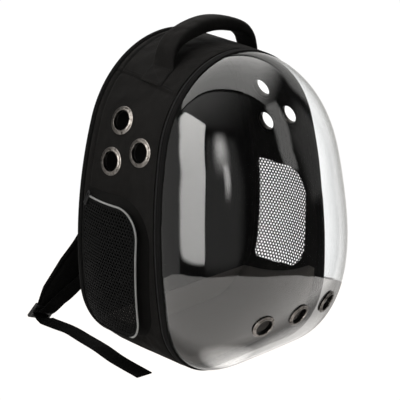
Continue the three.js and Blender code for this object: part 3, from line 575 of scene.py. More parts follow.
def panel(node, first, last, columns, cutters=(), cut_away=0.0):
    """One panel of the band between two seams, with its holes' cutters. The area of its holes, cut_away, is
    not used.
    """
    stations, length = even_stations(first - SEAM_OVERLAP, last + SEAM_OVERLAP, columns)

    def place(u, v):
        return panel_point(stations[round(u * columns)], v, min(u, 1 - u) * length)

    piece = laid_grid(f"{node}_cloth", columns, PANEL_ROWS, place, (length, BAND_DEPTH))
    apply_modifier(piece, "SOLIDIFY", thickness=CLOTH_WALL, offset=-1)
    for cutter in cutters:
        cut_out(piece, cutter)
    smooth(piece)
    dress(piece, nylon, "nylon", node)


panel("top_panel", SHOULDER_SEAM, 8 - SHOULDER_SEAM, 90)
panel("bottom_panel", -CORNER_SEAM, CORNER_SEAM, 90)

# Rows of sewing beside the seams, the rim and the back edge, where the panels are joined
SEAM_ROWS = (4.4 * MM, 8.4 * MM)
EDGE_ROW_SHARES = (0.105, 0.968)
SEWING_LIFT = 0.25 * MM
STITCH_PITCH = 3 * MM
STITCH_SHARE = 0.72
STATION_LENGTH = TOP_RADIUS * math.pi / 2
FAR_FROM_SEAM = 1.0
THREAD_RADIUS = 0.32 * MM
SEAM_ROW_ENDS = (0.02, 0.96)
ROD_POINTS = (0.22, 0.78)
THREAD_COLOUR = (0.014, 0.0135, 0.013, 1)


def rods(name, ends, radius, sides=5):
    """Many short rods with pointed ends, as one mesh: thread stitches or the teeth of a zip."""
    points = []
    faces = []
    for start, end in ends:
        base = len(points)
        axis = end - start
        side = axis.orthogonal().normalized()
        up = axis.normalized().cross(side)
        points.append(start)
        for share in ROD_POINTS:
            for step in range(sides):
                angle = 2 * math.pi * step / sides
                points.append(start + axis * share + (side * math.cos(angle) + up * math.sin(angle)) * radius)
        points.append(end)
        for step in range(sides):
            low = base + 1 + step
            low_next = base + 1 + (step + 1) % sides
            faces.append((base, low_next, low))
            faces.append((low, low_next, low_next + sides, low + sides))
            faces.append((low + sides, low_next + sides, base + 1 + 2 * sides))
    piece = meshed(name, points, faces)
    close_up(piece)
    smooth(piece, 70)
    return piece


def sewing(name, lines):
    """Rows of stitches along lines."""
    ends = []
    for line in lines:
        points = even_line(line, STITCH_PITCH)
        ends += [(here, here.lerp(there, STITCH_SHARE)) for here, there in zip(points, points[1:])]
    return rods(name, ends, THREAD_RADIUS)


thread, tree, shader = new_material("black_thread")
twist_inputs = {"Vector": object_place(tree), "Scale": 1500.0}
twist = add_node(tree, "ShaderNodeTexWave", twist_inputs, bands_direction="DIAGONAL")[1]
fill(tree, shader, {
    "Base Color": THREAD_COLOUR, "Roughness": 0.6, "Specular IOR Level": 0.1,
    "Normal": bumped(tree, twist, 0.4, 0.1 * MM),
})
band_lines = []
for seam, way, seam_rows in (
    (SHOULDER_SEAM, 1, SEAM_ROWS), (8 - SHOULDER_SEAM, -1, SEAM_ROWS),
    (CORNER_SEAM, 1, SEAM_ROWS[:1]), (8 - CORNER_SEAM, -1, SEAM_ROWS[:1]),
):
    for row in seam_rows:
        station = seam + way * row / STATION_LENGTH
        shares = np.linspace(*SEAM_ROW_ENDS, 120)
        band_lines.append([panel_point(station, share, row, SEWING_LIFT) for share in shares])
rim_stations, _ = even_stations(0, 8, 480, 1.0)
for share in EDGE_ROW_SHARES:
    band_lines.append([panel_point(station, share, FAR_FROM_SEAM, SEWING_LIFT) for station in rim_stations])
dress(sewing("band_sewing", band_lines), thread, "nylon")

# Side walls
# The two side panels of the band, each with a window behind its pocket and three round vents.
POCKET_BACK_RADIUS = 8 * MM
POCKET_LOOP_LENGTH = 590 * MM
POCKET_PITCH = 4 * MM
WINDOW_CUT = (100 * MM, 200 * MM)
BORE_CLEARANCE = 0.5 * MM
BORE_LENGTH = 30 * MM
WALL_STEP = 1 * MM
# The window's outline and the sizes of a vent's ring, in mm
POCKET_WINDOW = {"bottom": 65, "top": 219, "front": -33, "back": 65, "low_radius": 38, "top_radius": 36}
EYELET = {"hole": 13.7, "barrel": 14.4, "flange": 19, "rise": 2.4, "wall": 3.8, "lip": 1.1}
SIDES = {"right": 1, "left": -1}


def pocket_loop(outline, inset=0.0):
    """One of the pocket's outlines in the wall's YZ plane, inset evenly, with points about a pitch apart."""
    low, high, near, back, low_radius, top_radius = (size * MM for size in outline.values())
    far = back - POCKET_BACK_RADIUS
    low += inset
    high -= inset
    near += inset
    low_radius -= inset
    top_radius -= inset
    loop = []
    for y, z, radius, start in (
        (far, low + POCKET_BACK_RADIUS, POCKET_BACK_RADIUS, 0),
        (near + low_radius, low + low_radius, low_radius, -90),
        (near + top_radius, high - top_radius, top_radius, -180),
        (far, high - POCKET_BACK_RADIUS, POCKET_BACK_RADIUS, -270),
    ):
        for angle in np.radians(np.linspace(start, start - 90, 16)):
            loop.append((y + radius * math.cos(angle), z + radius * math.sin(angle)))
    loop.append(loop[0])
    length = running_length(loop)
    places = np.linspace(0, length[-1], round(POCKET_LOOP_LENGTH / POCKET_PITCH) + 1)[:-1]
    return points_at(loop, length, places).tolist()


def half_width_at(share, z, inset=0.0):
    """Half the outline's width at a height."""
    arcs = outline_arcs(share)[1]
    x, centre, radius = next(arc[:3] for arc in arcs if z <= arc[1] + arc[2] * math.sin(arc[4]) + 1e-9)
    return x + math.sqrt(max((radius - inset) ** 2 - (z - centre) ** 2, 0.0))


def share_at(y, z):
    return (BAND_BACK_Y - y) / (BAND_BACK_Y - rim_y(z) - RIM_TRIM_DEPTH)


def wall_x(y, z):
    """How far out the right side wall stands at a place."""
    return half_width_at(share_at(y, z), z)


def outward(surface, y, z, step):
    """The outward direction of a surface that stands at an X for each Y and Z."""
    lean_y = (surface(y + step, z) - surface(y - step, z)) / (2 * step)
    lean_z = (surface(y, z + step) - surface(y, z - step)) / (2 * step)
    return Vector((1, -lean_y, -lean_z)).normalized()


def wall_frame(y, z, sign):
    """The place on a side wall and its outward direction."""
    normal = outward(wall_x, y, z, WALL_STEP)
    return Vector((sign * wall_x(y, z), y, z)), Vector((sign * normal.x, normal.y, normal.z))


def prism(loop, near, far, sign):
    """A block with the loop's outline in YZ, from one X to another."""
    bpy.ops.mesh.primitive_circle_add(vertices=len(loop), radius=1, fill_type="NGON")
    block = bpy.context.object
    for vertex, (y, z) in zip(block.data.vertices, loop):
        vertex.co = (sign * near, y, z)
    with editing(block):
        bpy.ops.mesh.extrude_region_move(TRANSFORM_OT_translate={"value": (sign * (far - near), 0, 0)})
    close_up(block)
    return block


def bore(sizes, centre, normal):
    """A round block for cutting a vent's hole."""
    bpy.ops.mesh.primitive_cylinder_add(
        vertices=48,
        radius=sizes["barrel"] * MM + BORE_CLEARANCE,
        depth=BORE_LENGTH,
        location=centre,
        rotation=normal.to_track_quat("Z", "Y").to_euler(),
    )
    return bpy.context.object


window_loop = pocket_loop(POCKET_WINDOW)
window_y, window_z = np.array(window_loop).T
window_area = abs(float(window_y @ np.roll(window_z, -1) - np.roll(window_y, -1) @ window_z)) / 2
vents_area = len(EYELET_PLACES) * math.pi * (EYELET["barrel"] * MM) ** 2
for side_name, sign in SIDES.items():
    ends = (CORNER_SEAM, SHOULDER_SEAM) if sign > 0 else (8 - SHOULDER_SEAM, 8 - CORNER_SEAM)
    cutters = [bore(EYELET, *wall_frame(y, z, sign)) for y, z in EYELET_PLACES.values()]
    cutters.insert(0, prism(window_loop, *WINDOW_CUT, sign))
    panel(f"side_panel_{side_name}", *ends, 130, cutters, window_area + vents_area)

# Vent rings
# Stamped metal eyelets in two parts, pressed together through the side wall: a stepped flange that rolls into
# the hole, and a flat washer inside. Dark nickel plate with fine wear.
RING_COLUMNS = 56
RING_GIRTH = 30 * MM
# The bore and the washer are darkened with painted shade, from this place along the ring's profile
BORE_SHADE_STARTS = 16.4 * MM
BORE_SHADE_ENDS = 17.4 * MM
BORE_SHADE_TONE = 0.12
RING_COLOUR_DARK = (0.08, 0.072, 0.065)
RING_COLOUR_LIGHT = (0.26, 0.242, 0.225)


def vent_ring(name, sizes, centre, normal):
    """One eyelet seated on a surface, its profile of radius and height in mm turned about the hole."""
    hole, barrel, flange, rise, wall, lip = sizes.values()
    back = -wall - lip
    edge = flange - 1
    profile = [
        (flange - 0.4, 0.1), (flange, 0.5), (flange - 0.2, 1.0), (flange - 0.9, 1.25), (barrel + 1.7, 1.45),
        (barrel + 1.2, 1.6), (barrel + 0.9, 2.1), (barrel + 0.4, rise - 0.1), (barrel - 0.2, rise),
        (barrel - 0.8, rise - 0.15), (hole + 0.25, rise - 0.6), (hole, rise - 1.3), (hole, back + 0.4),
        (hole + 0.4, back), (edge - 0.4, back), (edge, back + 0.4), (edge - 0.2, -wall), (barrel, -wall),
        (barrel, 0.1),
    ]
    turn = normal.to_track_quat("Z", "Y")
    rows = len(profile)

    def place(u, v):
        radius, height = profile[round(v * rows) % rows]
        angle = 2 * math.pi * u
        return centre + turn @ (Vector((radius * math.cos(angle), radius * math.sin(angle), height)) * MM)

    ring = laid_grid(name, RING_COLUMNS, rows, place, (2 * math.pi * barrel * MM, RING_GIRTH))
    close_up(ring)
    smooth(ring, 50)
    return ring


def darkened(tree, colour, *limits):
    """A colour times a tone that changes between two limits of a measure."""
    inputs = {0: 1.0, 6: colour, 7: graded(tree, *limits)}
    return add_node(tree, "ShaderNodeMix", inputs, data_type="RGBA", blend_type="MULTIPLY")[2]


# Plated metal: a mottled tone, with painted shade in the bore, and fine rubbing in its gloss
nickel, tree, shader = new_material("dark_nickel")
mottle = noise_value(tree, object_place(tree), 260.0, 4.0)
plate = two_tone(tree, mottle, (0.3, 0.75), RING_COLOUR_DARK, RING_COLOUR_LIGHT)
profile_place = add_node(tree, "ShaderNodeSeparateXYZ", [add_node(tree, "ShaderNodeUVMap")[0]])[1]
fill(tree, shader, {
    "Base Color": darkened(tree, plate, profile_place, BORE_SHADE_STARTS, BORE_SHADE_ENDS, 1.0, BORE_SHADE_TONE),
    "Roughness": arithmetic(tree, "MULTIPLY_ADD", mottle, 0.2, 0.2),
    "Metallic": 1,
})
for side_name, sign in SIDES.items():
    for place_name, (y, z) in EYELET_PLACES.items():
        ring = vent_ring(f"vent_{side_name}_{place_name}", EYELET, *wall_frame(y, z, sign))
        dress(ring, nickel, "ring_metal", f"eyelet_{side_name}_{place_name}")

# Dome binding
# Black grosgrain tape folded over the dome's edge all the way round, and sewn through.
BINDING_HEIGHT = 7 * MM
BINDING_MIDDLE = (BINDING_HEIGHT / 2, BINDING_DEPTH / 2)
BINDING_ROW_BACK = 5.4 * MM
RIM_COLUMNS = 320
RIM_TAPE_SIZE = (1250 * MM, 28 * MM)
TAPE_COLOUR = (0.0095, 0.0093, 0.009)


def rim_point(station, inset, back):
    """A place at the rim, inset from the outline and behind the rim's plane."""
    x, z = outline_point(1.0, station, inset)
    return Vector((x, rim_y(z) + back, z))


def round_box(width, height, sharpness, count, middle=(0, 0)):
    """A closed section between a box and an oval: sharpness 1 is an oval, and near 0 a box."""
    section = []
    for step in range(count):
        angle = 2 * math.pi * (step + 0.5) / count
        across = math.copysign(abs(math.cos(angle)) ** sharpness, math.cos(angle))
        up = math.copysign(abs(math.sin(angle)) ** sharpness, math.sin(angle))
        section.append((middle[0] + across * width / 2, middle[1] + up * height / 2))
    return section


def hoop(name, section, point, size):
    """A section carried round the whole outline: point takes a station and the section's two sizes."""
    stations, _ = even_stations(0, 8, RIM_COLUMNS, 1.0)
    rows = len(section)

    def place(u, v):
        return point(stations[round(u * RIM_COLUMNS)], *section[round(v * rows) % rows])

    piece = laid_grid(name, RIM_COLUMNS, rows, place, size)
    close_up(piece)
    smooth(piece)
    return piece


tape = cloth_material("black_tape", TAPE_COLOUR, 0.8 * MM, relief=0.2 * MM, stretch=(1, 0.25, 1))
binding_section = round_box(BINDING_HEIGHT, BINDING_DEPTH, 0.45, 20, BINDING_MIDDLE)
binding = hoop("dome_binding_tape", binding_section, rim_point, RIM_TAPE_SIZE)
dress(binding, tape, "edge_tape", "dome_binding")
binding_line = [rim_point(station, -SEWING_LIFT / 2, BINDING_ROW_BACK) for station in rim_stations]
dress(sewing("binding_sewing", [binding_line]), thread, "edge_tape")

# Door zip
# A coil zip behind the binding, by which the dome opens: two woven tapes with a nylon coil between them.
ZIP_HEIGHT = 3.2 * MM
ZIP_SINK = 0.9 * MM
ZIP_BACK = BINDING_DEPTH + SEAT_GAP + ZIP_DEPTH / 2
ZIP_MIDDLE = ((ZIP_HEIGHT + ZIP_SINK) / 2, ZIP_BACK)
TOOTH_PITCH = 1.7 * MM
TOOTH_HALF_SPAN = Vector((0, 1.3 * MM, 0))
TOOTH_RADIUS = 0.62 * MM
TOOTH_SINK = 0.72 * MM
TOOTH_AIM = 0.98
PLASTIC_COLOUR = (0.012, 0.012, 0.0125, 1)
PLASTIC_GLOSS = 0.2

zip_section = round_box(ZIP_HEIGHT - ZIP_SINK, ZIP_DEPTH, 0.35, 12, ZIP_MIDDLE)
dress(hoop("door_zip_tape", zip_section, rim_point, RIM_TAPE_SIZE), tape, "edge_tape", "door_zip")
teeth = []
for middle in even_line([rim_point(station, 0, ZIP_BACK) for station in rim_stations], TOOTH_PITCH):
    inward = Vector((-TOOTH_AIM * middle.x, 0, WIDEST_HEIGHT - middle.z)).normalized()
    sunk = middle + inward * TOOTH_SINK
    teeth.append((sunk - TOOTH_HALF_SPAN, sunk + TOOTH_HALF_SPAN))
# Moulded plastic: a fine spark-eroded grain in its surface and its gloss
plastic, tree, shader = new_material("black_plastic")
grain = noise_value(tree, object_place(tree), 1600.0, 2.0)
fill(tree, shader, {
    "Base Color": PLASTIC_COLOUR, "Specular IOR Level": PLASTIC_GLOSS,
    "Roughness": arithmetic(tree, "MULTIPLY_ADD", grain, 0.25, 0.3),
    "Normal": bumped(tree, grain, 0.25, 0.05 * MM),
})
dress(rods("door_zip_coil", teeth, TOOTH_RADIUS, 6), plastic, "edge_tape")

# Zip slider
# A moulded slider on the zip's coil, on the far side of the rim, with a flat pull hanging along the tape.
SLIDER_STATION = 2.6
SLIDER_SIZE = (5 * MM, 8 * MM, 13 * MM)
SLIDER_ROUND = 1.4 * MM
BRIDGE_SIZE = (2.2 * MM, 2.6 * MM, 8 * MM)
BRIDGE_ROUND = 0.8 * MM
SLIDER_PULL = (2.5 * MM, 5.6 * MM, 24 * MM)
SLIDER_PULL_LIFT = 2.35 * MM


def soft_block(size, at, bevel):
    """A block with rounded edges, at a place in its own axes."""
    bpy.ops.mesh.primitive_cube_add(size=1, location=at, scale=size)
    block = bpy.context.object
    bpy.ops.object.transform_apply(location=True, rotation=True, scale=True)
    apply_modifier(block, "BEVEL", width=bevel, segments=3, limit_method="ANGLE")
    return block


def joined(name, pieces):
    """Several meshes as one piece."""
    activate(pieces[0])
    for piece in pieces[1:]:
        piece.select_set(True)
    bpy.ops.object.join()
    return named(pieces[0], name)


def axes_at(at, *ways):
    """A piece's axes: where they start and their three directions."""
    axes = Matrix(ways).transposed().to_4x4()
    axes.translation = at
    return axes


def set_in_place(piece, axes):
    """Moves a piece from its own axes into the bag's, and leaves its mesh there."""
    piece.matrix_world = axes
    activate(piece)
    bpy.ops.object.transform_apply(location=True, rotation=True, scale=True)
    smooth(piece)


def pull_tab(name, size, x, y, z):
    """A flat pull with a long hole near its free end and three grip ribs."""
    thickness, width, length = size
    tab = soft_block(size, (x, y, z), 0.32 * thickness)
    hole_size = (4 * thickness, 0.42 * width, 0.22 * length)
    hole = soft_block(hole_size, (x, y, z), 0.2 * width)
    hole.location.z = 0.3 * length
    cut_out(tab, hole)
    rib_size = (1.25 * thickness, 0.78 * width, 0.04 * length)
    rib_places = [(x, y, z + share * length) for share in (-0.35, -0.26, -0.17)]
    return joined(name, [tab, *(soft_block(rib_size, place, 0.1 * thickness) for place in rib_places)])


slider_seat = rim_point(SLIDER_STATION, 0, ZIP_BACK)
slider_out = rim_point(SLIDER_STATION, -1 * MM, ZIP_BACK) - slider_seat
slider_out.y = 0
slider_out.normalize()
slider_at = slider_seat + (SEAT_GAP + SLIDER_SIZE[0] / 2) * slider_out
slider = joined("door_zip_slider_body", [
    soft_block(SLIDER_SIZE, (0, 0, 0), SLIDER_ROUND),
    soft_block(BRIDGE_SIZE, (SLIDER_SIZE[0] / 2, 0, 0), BRIDGE_ROUND),
    pull_tab("pull", SLIDER_PULL, SLIDER_PULL_LIFT, 0, -SLIDER_PULL[2] / 2),
])
set_in_place(slider, axes_at(slider_at, slider_out, (0, 1, 0), (-slider_out.z, 0, slider_out.x)))
dress(slider, plastic, "black_plastic", "door_zip_slider")

# Clear dome
# One thermoformed shell of clear polished plastic that swells from the rim to a blunt peak. Away from the rim
# its outline turns smoothly into an oval, as a heated sheet draws. Its edge is tucked into the binding, and
# three holes low down take its vents.
DOME_DEPTH = 124 * MM
DOME_ROUNDNESS = 1.8
DOME_PEAK = 240 * MM
DOME_INSET = 2 * MM
DOME_TUCK = 1.5 * MM
DOME_WALL = 2 * MM
DOME_COLUMNS = 168
DOME_RINGS = 56
OUTLINE_WAVES = 20
KEPT_WAVES = 2
WAVE_DAMPING = 0.5
DOME_STEP = 0.004
DOME_TINT = (0.97, 0.975, 0.975, 1)
GROMMET = {"hole": 12, "barrel": 13.2, "flange": 17, "rise": 2.4, "wall": 3.9, "lip": 1}

dome_stations = np.linspace(0, 8, 3200, endpoint=False)
rim_x, rim_z = np.array([outline_point(1.0, station, DOME_INSET) for station in dome_stations]).T
rim_turns = np.arctan2(rim_x, DOME_PEAK - rim_z)
rim_reach = np.hypot(rim_x, rim_z - DOME_PEAK)
even_turns = np.linspace(0, 2 * math.pi, 1024, endpoint=False)
even_reach = np.interp(even_turns, rim_turns, rim_reach, period=2 * math.pi)
outline_waves = [
    (1 if wave == 0 else 2) * float(np.mean(even_reach * np.cos(wave * even_turns)))
    for wave in range(OUTLINE_WAVES)
]


def dome_place(turn, share):
    """A place on the dome's outer face: turn goes round the peak from below, share from peak to rim."""
    reach = share * sum(
        size * math.cos(wave * turn) * share ** (WAVE_DAMPING * max(wave - KEPT_WAVES, 0))
        for wave, size in enumerate(outline_waves)
    )
    x = reach * math.sin(turn)
    z = DOME_PEAK - reach * math.cos(turn)
    swell = max(1 - share**DOME_ROUNDNESS, 0.0) ** (1 / DOME_ROUNDNESS)
    return Vector((x, rim_y(z) + DOME_TUCK - (DOME_DEPTH + SEAT_GAP + DOME_TUCK) * swell, z))


def dome_grid(u, v):
    return dome_place(2 * math.pi * u, max(math.cos(v * math.pi / 2), 0.0))


def dome_frame(x, z):
    """The place on the dome in front of a point, and its outward direction."""
    turn = math.atan2(x, DOME_PEAK - z)
    reach = math.hypot(x, z - DOME_PEAK)
    low, high = 0.0, 1.0
    for _ in range(40):
        share = (low + high) / 2
        place = dome_place(turn, share)
        if math.hypot(place.x, place.z - DOME_PEAK) < reach:
            low = share
        else:
            high = share
    along = dome_place(turn + DOME_STEP, share) - dome_place(turn - DOME_STEP, share)
    up = dome_place(turn, share - DOME_STEP) - dome_place(turn, share + DOME_STEP)
    return place, along.cross(up).normalized()


dome = laid_grid("dome_shell", DOME_COLUMNS, DOME_RINGS, dome_grid)
close_up(dome)
apply_modifier(dome, "SOLIDIFY", thickness=DOME_WALL, offset=-1)
grommet_seats = {}
for grommet_name in ("left", "middle", "right"):
    lowest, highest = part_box(f"dome_grommet_{grommet_name}")
    middle = (Vector(lowest) + Vector(highest)) / 2
    grommet_seats[grommet_name] = dome_frame(middle.x, middle.z)
    cut_out(dome, bore(GROMMET, *grommet_seats[grommet_name]))
smooth(dome, 30)
clear, tree, shader = new_material("clear_dome")
fill(tree, shader, {"Base Color": DOME_TINT, "Roughness": 0.02, "IOR": 1.5, "Transmission Weight": 1})
see_through = add_node(tree, "ShaderNodeBsdfTransparent")[0]
shadow_ray = add_node(tree, "ShaderNodeLightPath")["Is Shadow Ray"]
surface = add_node(tree, "ShaderNodeMixShader", [shadow_ray, shader.outputs[0], see_through])[0]
fill(tree, tree.nodes["Material Output"], {"Surface": surface})
dress(dome, clear, "clear_dome", "dome")

# Dome vents
# Three more metal eyelets, smaller than those of the walls, in a row low on the dome.
for grommet_name, seat in grommet_seats.items():
    ring = vent_ring(f"dome_vent_{grommet_name}", GROMMET, *seat)
    dress(ring, nickel, "ring_metal", f"dome_grommet_{grommet_name}")

# Back piping
# A cord in black tape round the back edge, where the band meets the padded back.
PIPING_RADIUS = 4 * MM
PIPING_INSET = 1 * MM
PIPING_SIZE = (1300 * MM, 25 * MM)


def back_point(station, inset, behind):
    """A place on the outline of the back edge, inset from it, at a depth behind the band."""
    x, z = outline_point(0.0, station, inset)
    return Vector((x, BAND_BACK_Y + behind, z))


piping_middle = (PIPING_INSET, SEAT_GAP + PIPING_RADIUS)
piping_section = round_box(2 * PIPING_RADIUS, 2 * PIPING_RADIUS, 1, 14, piping_middle)
dress(hoop("back_piping_tape", piping_section, back_point, PIPING_SIZE), tape, "edge_tape", "back_piping")

# Tape sewn over the seam inside the cabin: its width and thickness, and where the middle of its section lies
SEAM_TAPE = (7 * MM, 0.8 * MM)
SEAM_TAPE_MIDDLE = (6.6 * MM, -0.6 * MM)
SEAM_TAPE_SIZE = (1300 * MM, 16 * MM)
seam_tape_section = round_box(*SEAM_TAPE, 0.4, 12, SEAM_TAPE_MIDDLE)
dress(hoop("back_seam_tape", seam_tape_section, back_point, SEAM_TAPE_SIZE), tape, "edge_tape")

# Back panel
# A foam pad in spacer mesh against the wearer's back, quilted by lines of sewing into two columns of blocks.
BACK_INSET = PIPING_INSET + PIPING_RADIUS + SEAT_GAP
BACK_THICKNESS = 8 * MM
BACK_WALL = 6 * MM
BACK_COLUMNS = 90
BACK_ROWS = 110
BACK_SIZE = (320 * MM, 420 * MM)
BACK_EDGE_FALL = 4 * MM
BACK_EDGE_REACH = 9 * MM
QUILT_DEPTH = 3 * MM
QUILT_WIDTH = 5 * MM
QUILT_X = 22 * MM
QUILT_ROWS_Z = (105 * MM, 200 * MM, 295 * MM)
QUILT_LEAN = 0.12
PADDING_COLOUR = (0.0105, 0.0102, 0.01)

back_low = outline_point(0.0, 0, BACK_INSET)[1]
back_high = outline_point(0.0, 4, BACK_INSET)[1]


def back_place(u, v):
    """The pad's outer face: full between the quilting lines, falling to the piping round its edge."""
    z = mix(back_low, back_high, (1 - math.cos(math.pi * v)) / 2)
    half_width = half_width_at(0.0, z, BACK_INSET)
    x = (2 * u - 1) * half_width
    edge = min(half_width - abs(x), z - back_low, (back_high - z) * 2)
    fall = BACK_EDGE_FALL * math.exp(-edge / BACK_EDGE_REACH)
    lines = [abs(abs(x) - QUILT_X)] + [abs(z - row + QUILT_LEAN * abs(x)) for row in QUILT_ROWS_Z]
    quilt = QUILT_DEPTH * math.exp(-((min(lines) / QUILT_WIDTH) ** 2))
    return Vector((x, BAND_BACK_Y + SEAT_GAP + BACK_THICKNESS - max(fall, quilt), z))


back_pad = laid_grid("back_pad", BACK_COLUMNS, BACK_ROWS, back_place, BACK_SIZE)
close_up(back_pad)
outer_count = len(back_pad.data.vertices)
apply_modifier(back_pad, "SOLIDIFY", thickness=BACK_WALL, offset=-1)
for vertex in back_pad.data.vertices[outer_count:]:
    vertex.co.y = BAND_BACK_Y + SEAT_GAP
close_up(back_pad)
smooth(back_pad)
padding = cloth_material("black_padding", PADDING_COLOUR, 1.6 * MM, roughness=0.85, relief=0.35 * MM)
dress(back_pad, padding, "padding", "back_panel")

# Side pockets
# A mesh face on a folded cloth gusset, sewn over the window in each side wall, edged with reflective piping.
# Outlines of the seam on the wall and of the mesh face, in mm
POCKET_SEAM = {"bottom": 50, "top": 244, "front": -50, "back": 73, "low_radius": 40, "top_radius": 62}
POCKET_FACE = {"bottom": 55, "top": 235, "front": -43, "back": 73, "low_radius": 31, "top_radius": 38}
POCKET_BACK = 73 * MM
POCKET_STANDOFF = 15 * MM
POCKET_BACK_STANDOFF = 2.2 * MM
POCKET_SLOPE_LENGTH = 70 * MM
POCKET_WALL = 1.5 * MM
POCKET_ROW_INSET = 1.5 * MM
GUSSET_FOLD = 2.5 * MM
GUSSET_ROWS = 10
GUSSET_SIZE = (POCKET_LOOP_LENGTH, 25 * MM)
GUSSET_RIPPLE = 0.8 * MM
GUSSET_RIPPLE_LENGTH = 11 * MM
GUSSET_RIPPLE_SLICE = 0.1
MESH_PITCH = 5.0 * MM
MESH_STRAND = 0.95 * MM
MESH_THICKNESS = 0.8 * MM
MESH_BORDER = 5 * MM
MESH_TUCK = 1.2 * MM
NET_COLOUR = (0.010, 0.010, 0.0098)
# The gusset's nylon, darker than the walls' as painted shade between the pocket's face and the wall
GUSSET_SHADE_COLOUR = (0.0075, 0.0072, 0.0068)


def pocket_standoff(y):
    share = min(max((POCKET_BACK - y) / POCKET_SLOPE_LENGTH, 0.0), 1.0)
    return mix(POCKET_BACK_STANDOFF, POCKET_STANDOFF, math.sin(share * math.pi / 2))


def pocket_face_x(y, z):
    return wall_x(y, z) + pocket_standoff(y)


seam_loop = pocket_loop(POCKET_SEAM)
face_loop = pocket_loop(POCKET_FACE)
border_loop = pocket_loop(POCKET_FACE, MESH_BORDER)
loop_count = len(seam_loop)
pocket_middle = (Vector(seam_loop[0]) + Vector(seam_loop[loop_count // 2])) / 2


def between_loops(outer, inner, u, v):
    """A place in YZ on the way from one loop to another."""
    number = round(u * loop_count) % loop_count
    return Vector(outer[number]).lerp(Vector(inner[number]), v)


def gusset_place(u, v):
    """The gusset's outer face, from the wall's seam to the mesh face, folded in between."""
    flat = between_loops(seam_loop, face_loop, u, v)
    inward = (pocket_middle - flat).normalized()
    ripple = GUSSET_RIPPLE * noise.noise(Vector((*flat, GUSSET_RIPPLE_SLICE)) / GUSSET_RIPPLE_LENGTH)
    flat += inward * (GUSSET_FOLD + ripple) * math.sin(math.pi * v)
    lift = mix(3 * SEAT_GAP, pocket_standoff(flat.x) - 2 * SEAT_GAP, v)
    return Vector((wall_x(*flat) + lift, *flat))


def border_place(u, v):
    """The band of cloth round the mesh."""
    y, z = between_loops(face_loop, border_loop, u, v)
    return Vector((pocket_face_x(y, z) + POCKET_WALL, y, z))


def mirror_copy(piece, name):
    """The same piece on the other side of the bag."""
    activate(piece)
    bpy.ops.object.duplicate()
    copy = named(bpy.context.object, name)
    with editing(copy):
        bpy.ops.transform.resize(value=(-1, 1, 1), center_override=(0, 0, 0))
        bpy.ops.mesh.flip_normals()
    return copy


def both_sides(piece, label, material, slot, *nodes):
    """Dresses a piece on both sides. The left copy is made first, so it stands for the left solid alone."""
    copy = mirror_copy(piece, f"{label}_left")
    piece.name = f"{label}_right"
    pair = {"left": copy, "right": piece}
    for side_name, own in pair.items():
        dress(own, material, slot, *(f"{node}_{side_name}" for node in nodes))
    return pair.items()


def inside_loop(y, z, loop):
    """Whether a place lies inside an outline."""
    inside = False
    for (y0, z0), (y1, z1) in zip(loop, loop[1:] + loop[:1]):
        if (z0 > z) != (z1 > z) and y < y0 + (z - z0) / (z1 - z0) * (y1 - y0):
            inside = not inside
    return inside


def net_mesh():
    """Knitted mesh with six-sided holes over the pocket's face."""
    edge = pocket_loop(POCKET_FACE, MESH_BORDER - MESH_TUCK)
    (start_y, end_y), (start_z, end_z) = ((min(axis), max(axis)) for axis in zip(*edge))
    corner_radius = MESH_PITCH / math.sqrt(3)
    row_pitch = 1.5 * corner_radius
    points = {}
    faces = []
    for row in range(int((end_z - start_z) / row_pitch) + 1):
        for column in range(int((end_y - start_y) / MESH_PITCH) + 2):
            y = start_y + (column + (row % 2) / 2) * MESH_PITCH
            z = start_z + row * row_pitch
            if not inside_loop(y, z, edge):
                continue
            face = []
            for step in range(6):
                angle = math.radians(60 * step + 30)
                at = (y + corner_radius * math.cos(angle), z + corner_radius * math.sin(angle))
                key = (round(at[0] * 1e5), round(at[1] * 1e5))
                points.setdefault(key, (len(points), at))
                face.append(points[key][0])
            faces.append(face)
    lifted = [(pocket_face_x(y, z) + MESH_THICKNESS / 2, y, z) for _, (y, z) in points.values()]
    piece = meshed("net", lifted, faces)
    with editing(piece):
        bpy.ops.mesh.normals_make_consistent(inside=False)
        bpy.ops.mesh.inset(thickness=MESH_STRAND, use_individual=True)
        bpy.ops.mesh.delete(type="FACE")
    apply_modifier(piece, "SOLIDIFY", thickness=MESH_THICKNESS, offset=0)
    return piece


gusset = laid_grid("gusset", loop_count, GUSSET_ROWS, gusset_place, GUSSET_SIZE)
close_up(gusset)
apply_modifier(gusset, "SOLIDIFY", thickness=POCKET_WALL, offset=-1)
smooth(gusset)
# The same nylon as the walls, with painted shade in its colour
gusset_cloth = cloth_material("gusset_nylon_painted_shade", GUSSET_SHADE_COLOUR, 0.7 * MM, folds=4 * MM)
for side_name, own in both_sides(gusset, "pocket_gusset_cloth", gusset_cloth, "nylon", "pocket_gusset"):
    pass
gusset_line = [(wall_x(y, z) + 3 * SEAT_GAP, y, z) for y, z in pocket_loop(POCKET_SEAM, POCKET_ROW_INSET)]
both_sides(sewing("sewing", [gusset_line]), "pocket_sewing", thread, "nylon")

border = laid_grid("border", loop_count, 4, border_place, (POCKET_LOOP_LENGTH, MESH_BORDER))
close_up(border)
apply_modifier(border, "SOLIDIFY", thickness=POCKET_WALL, offset=-1)
net = joined("net", [net_mesh(), border])
net_cloth = cloth_material("black_net", NET_COLOUR, 0.5 * MM)
for side_name, own in both_sides(net, "pocket_mesh_net", net_cloth, "mesh_cloth", "pocket_mesh"):
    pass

# Reflective piping round the face. Along the pocket's bottom, below these heights, its colour is darkened
# with painted shade, where it runs below the face's edge.
PIPE_RADIUS = 1.25 * MM
PIPE_COLOUR = (0.72, 0.72, 0.7)
PIPE_POINTS = 160
PIPE_SHADE_HEIGHTS = (56.6 * MM, 59 * MM)
PIPE_SHADE_TONE = 0.015


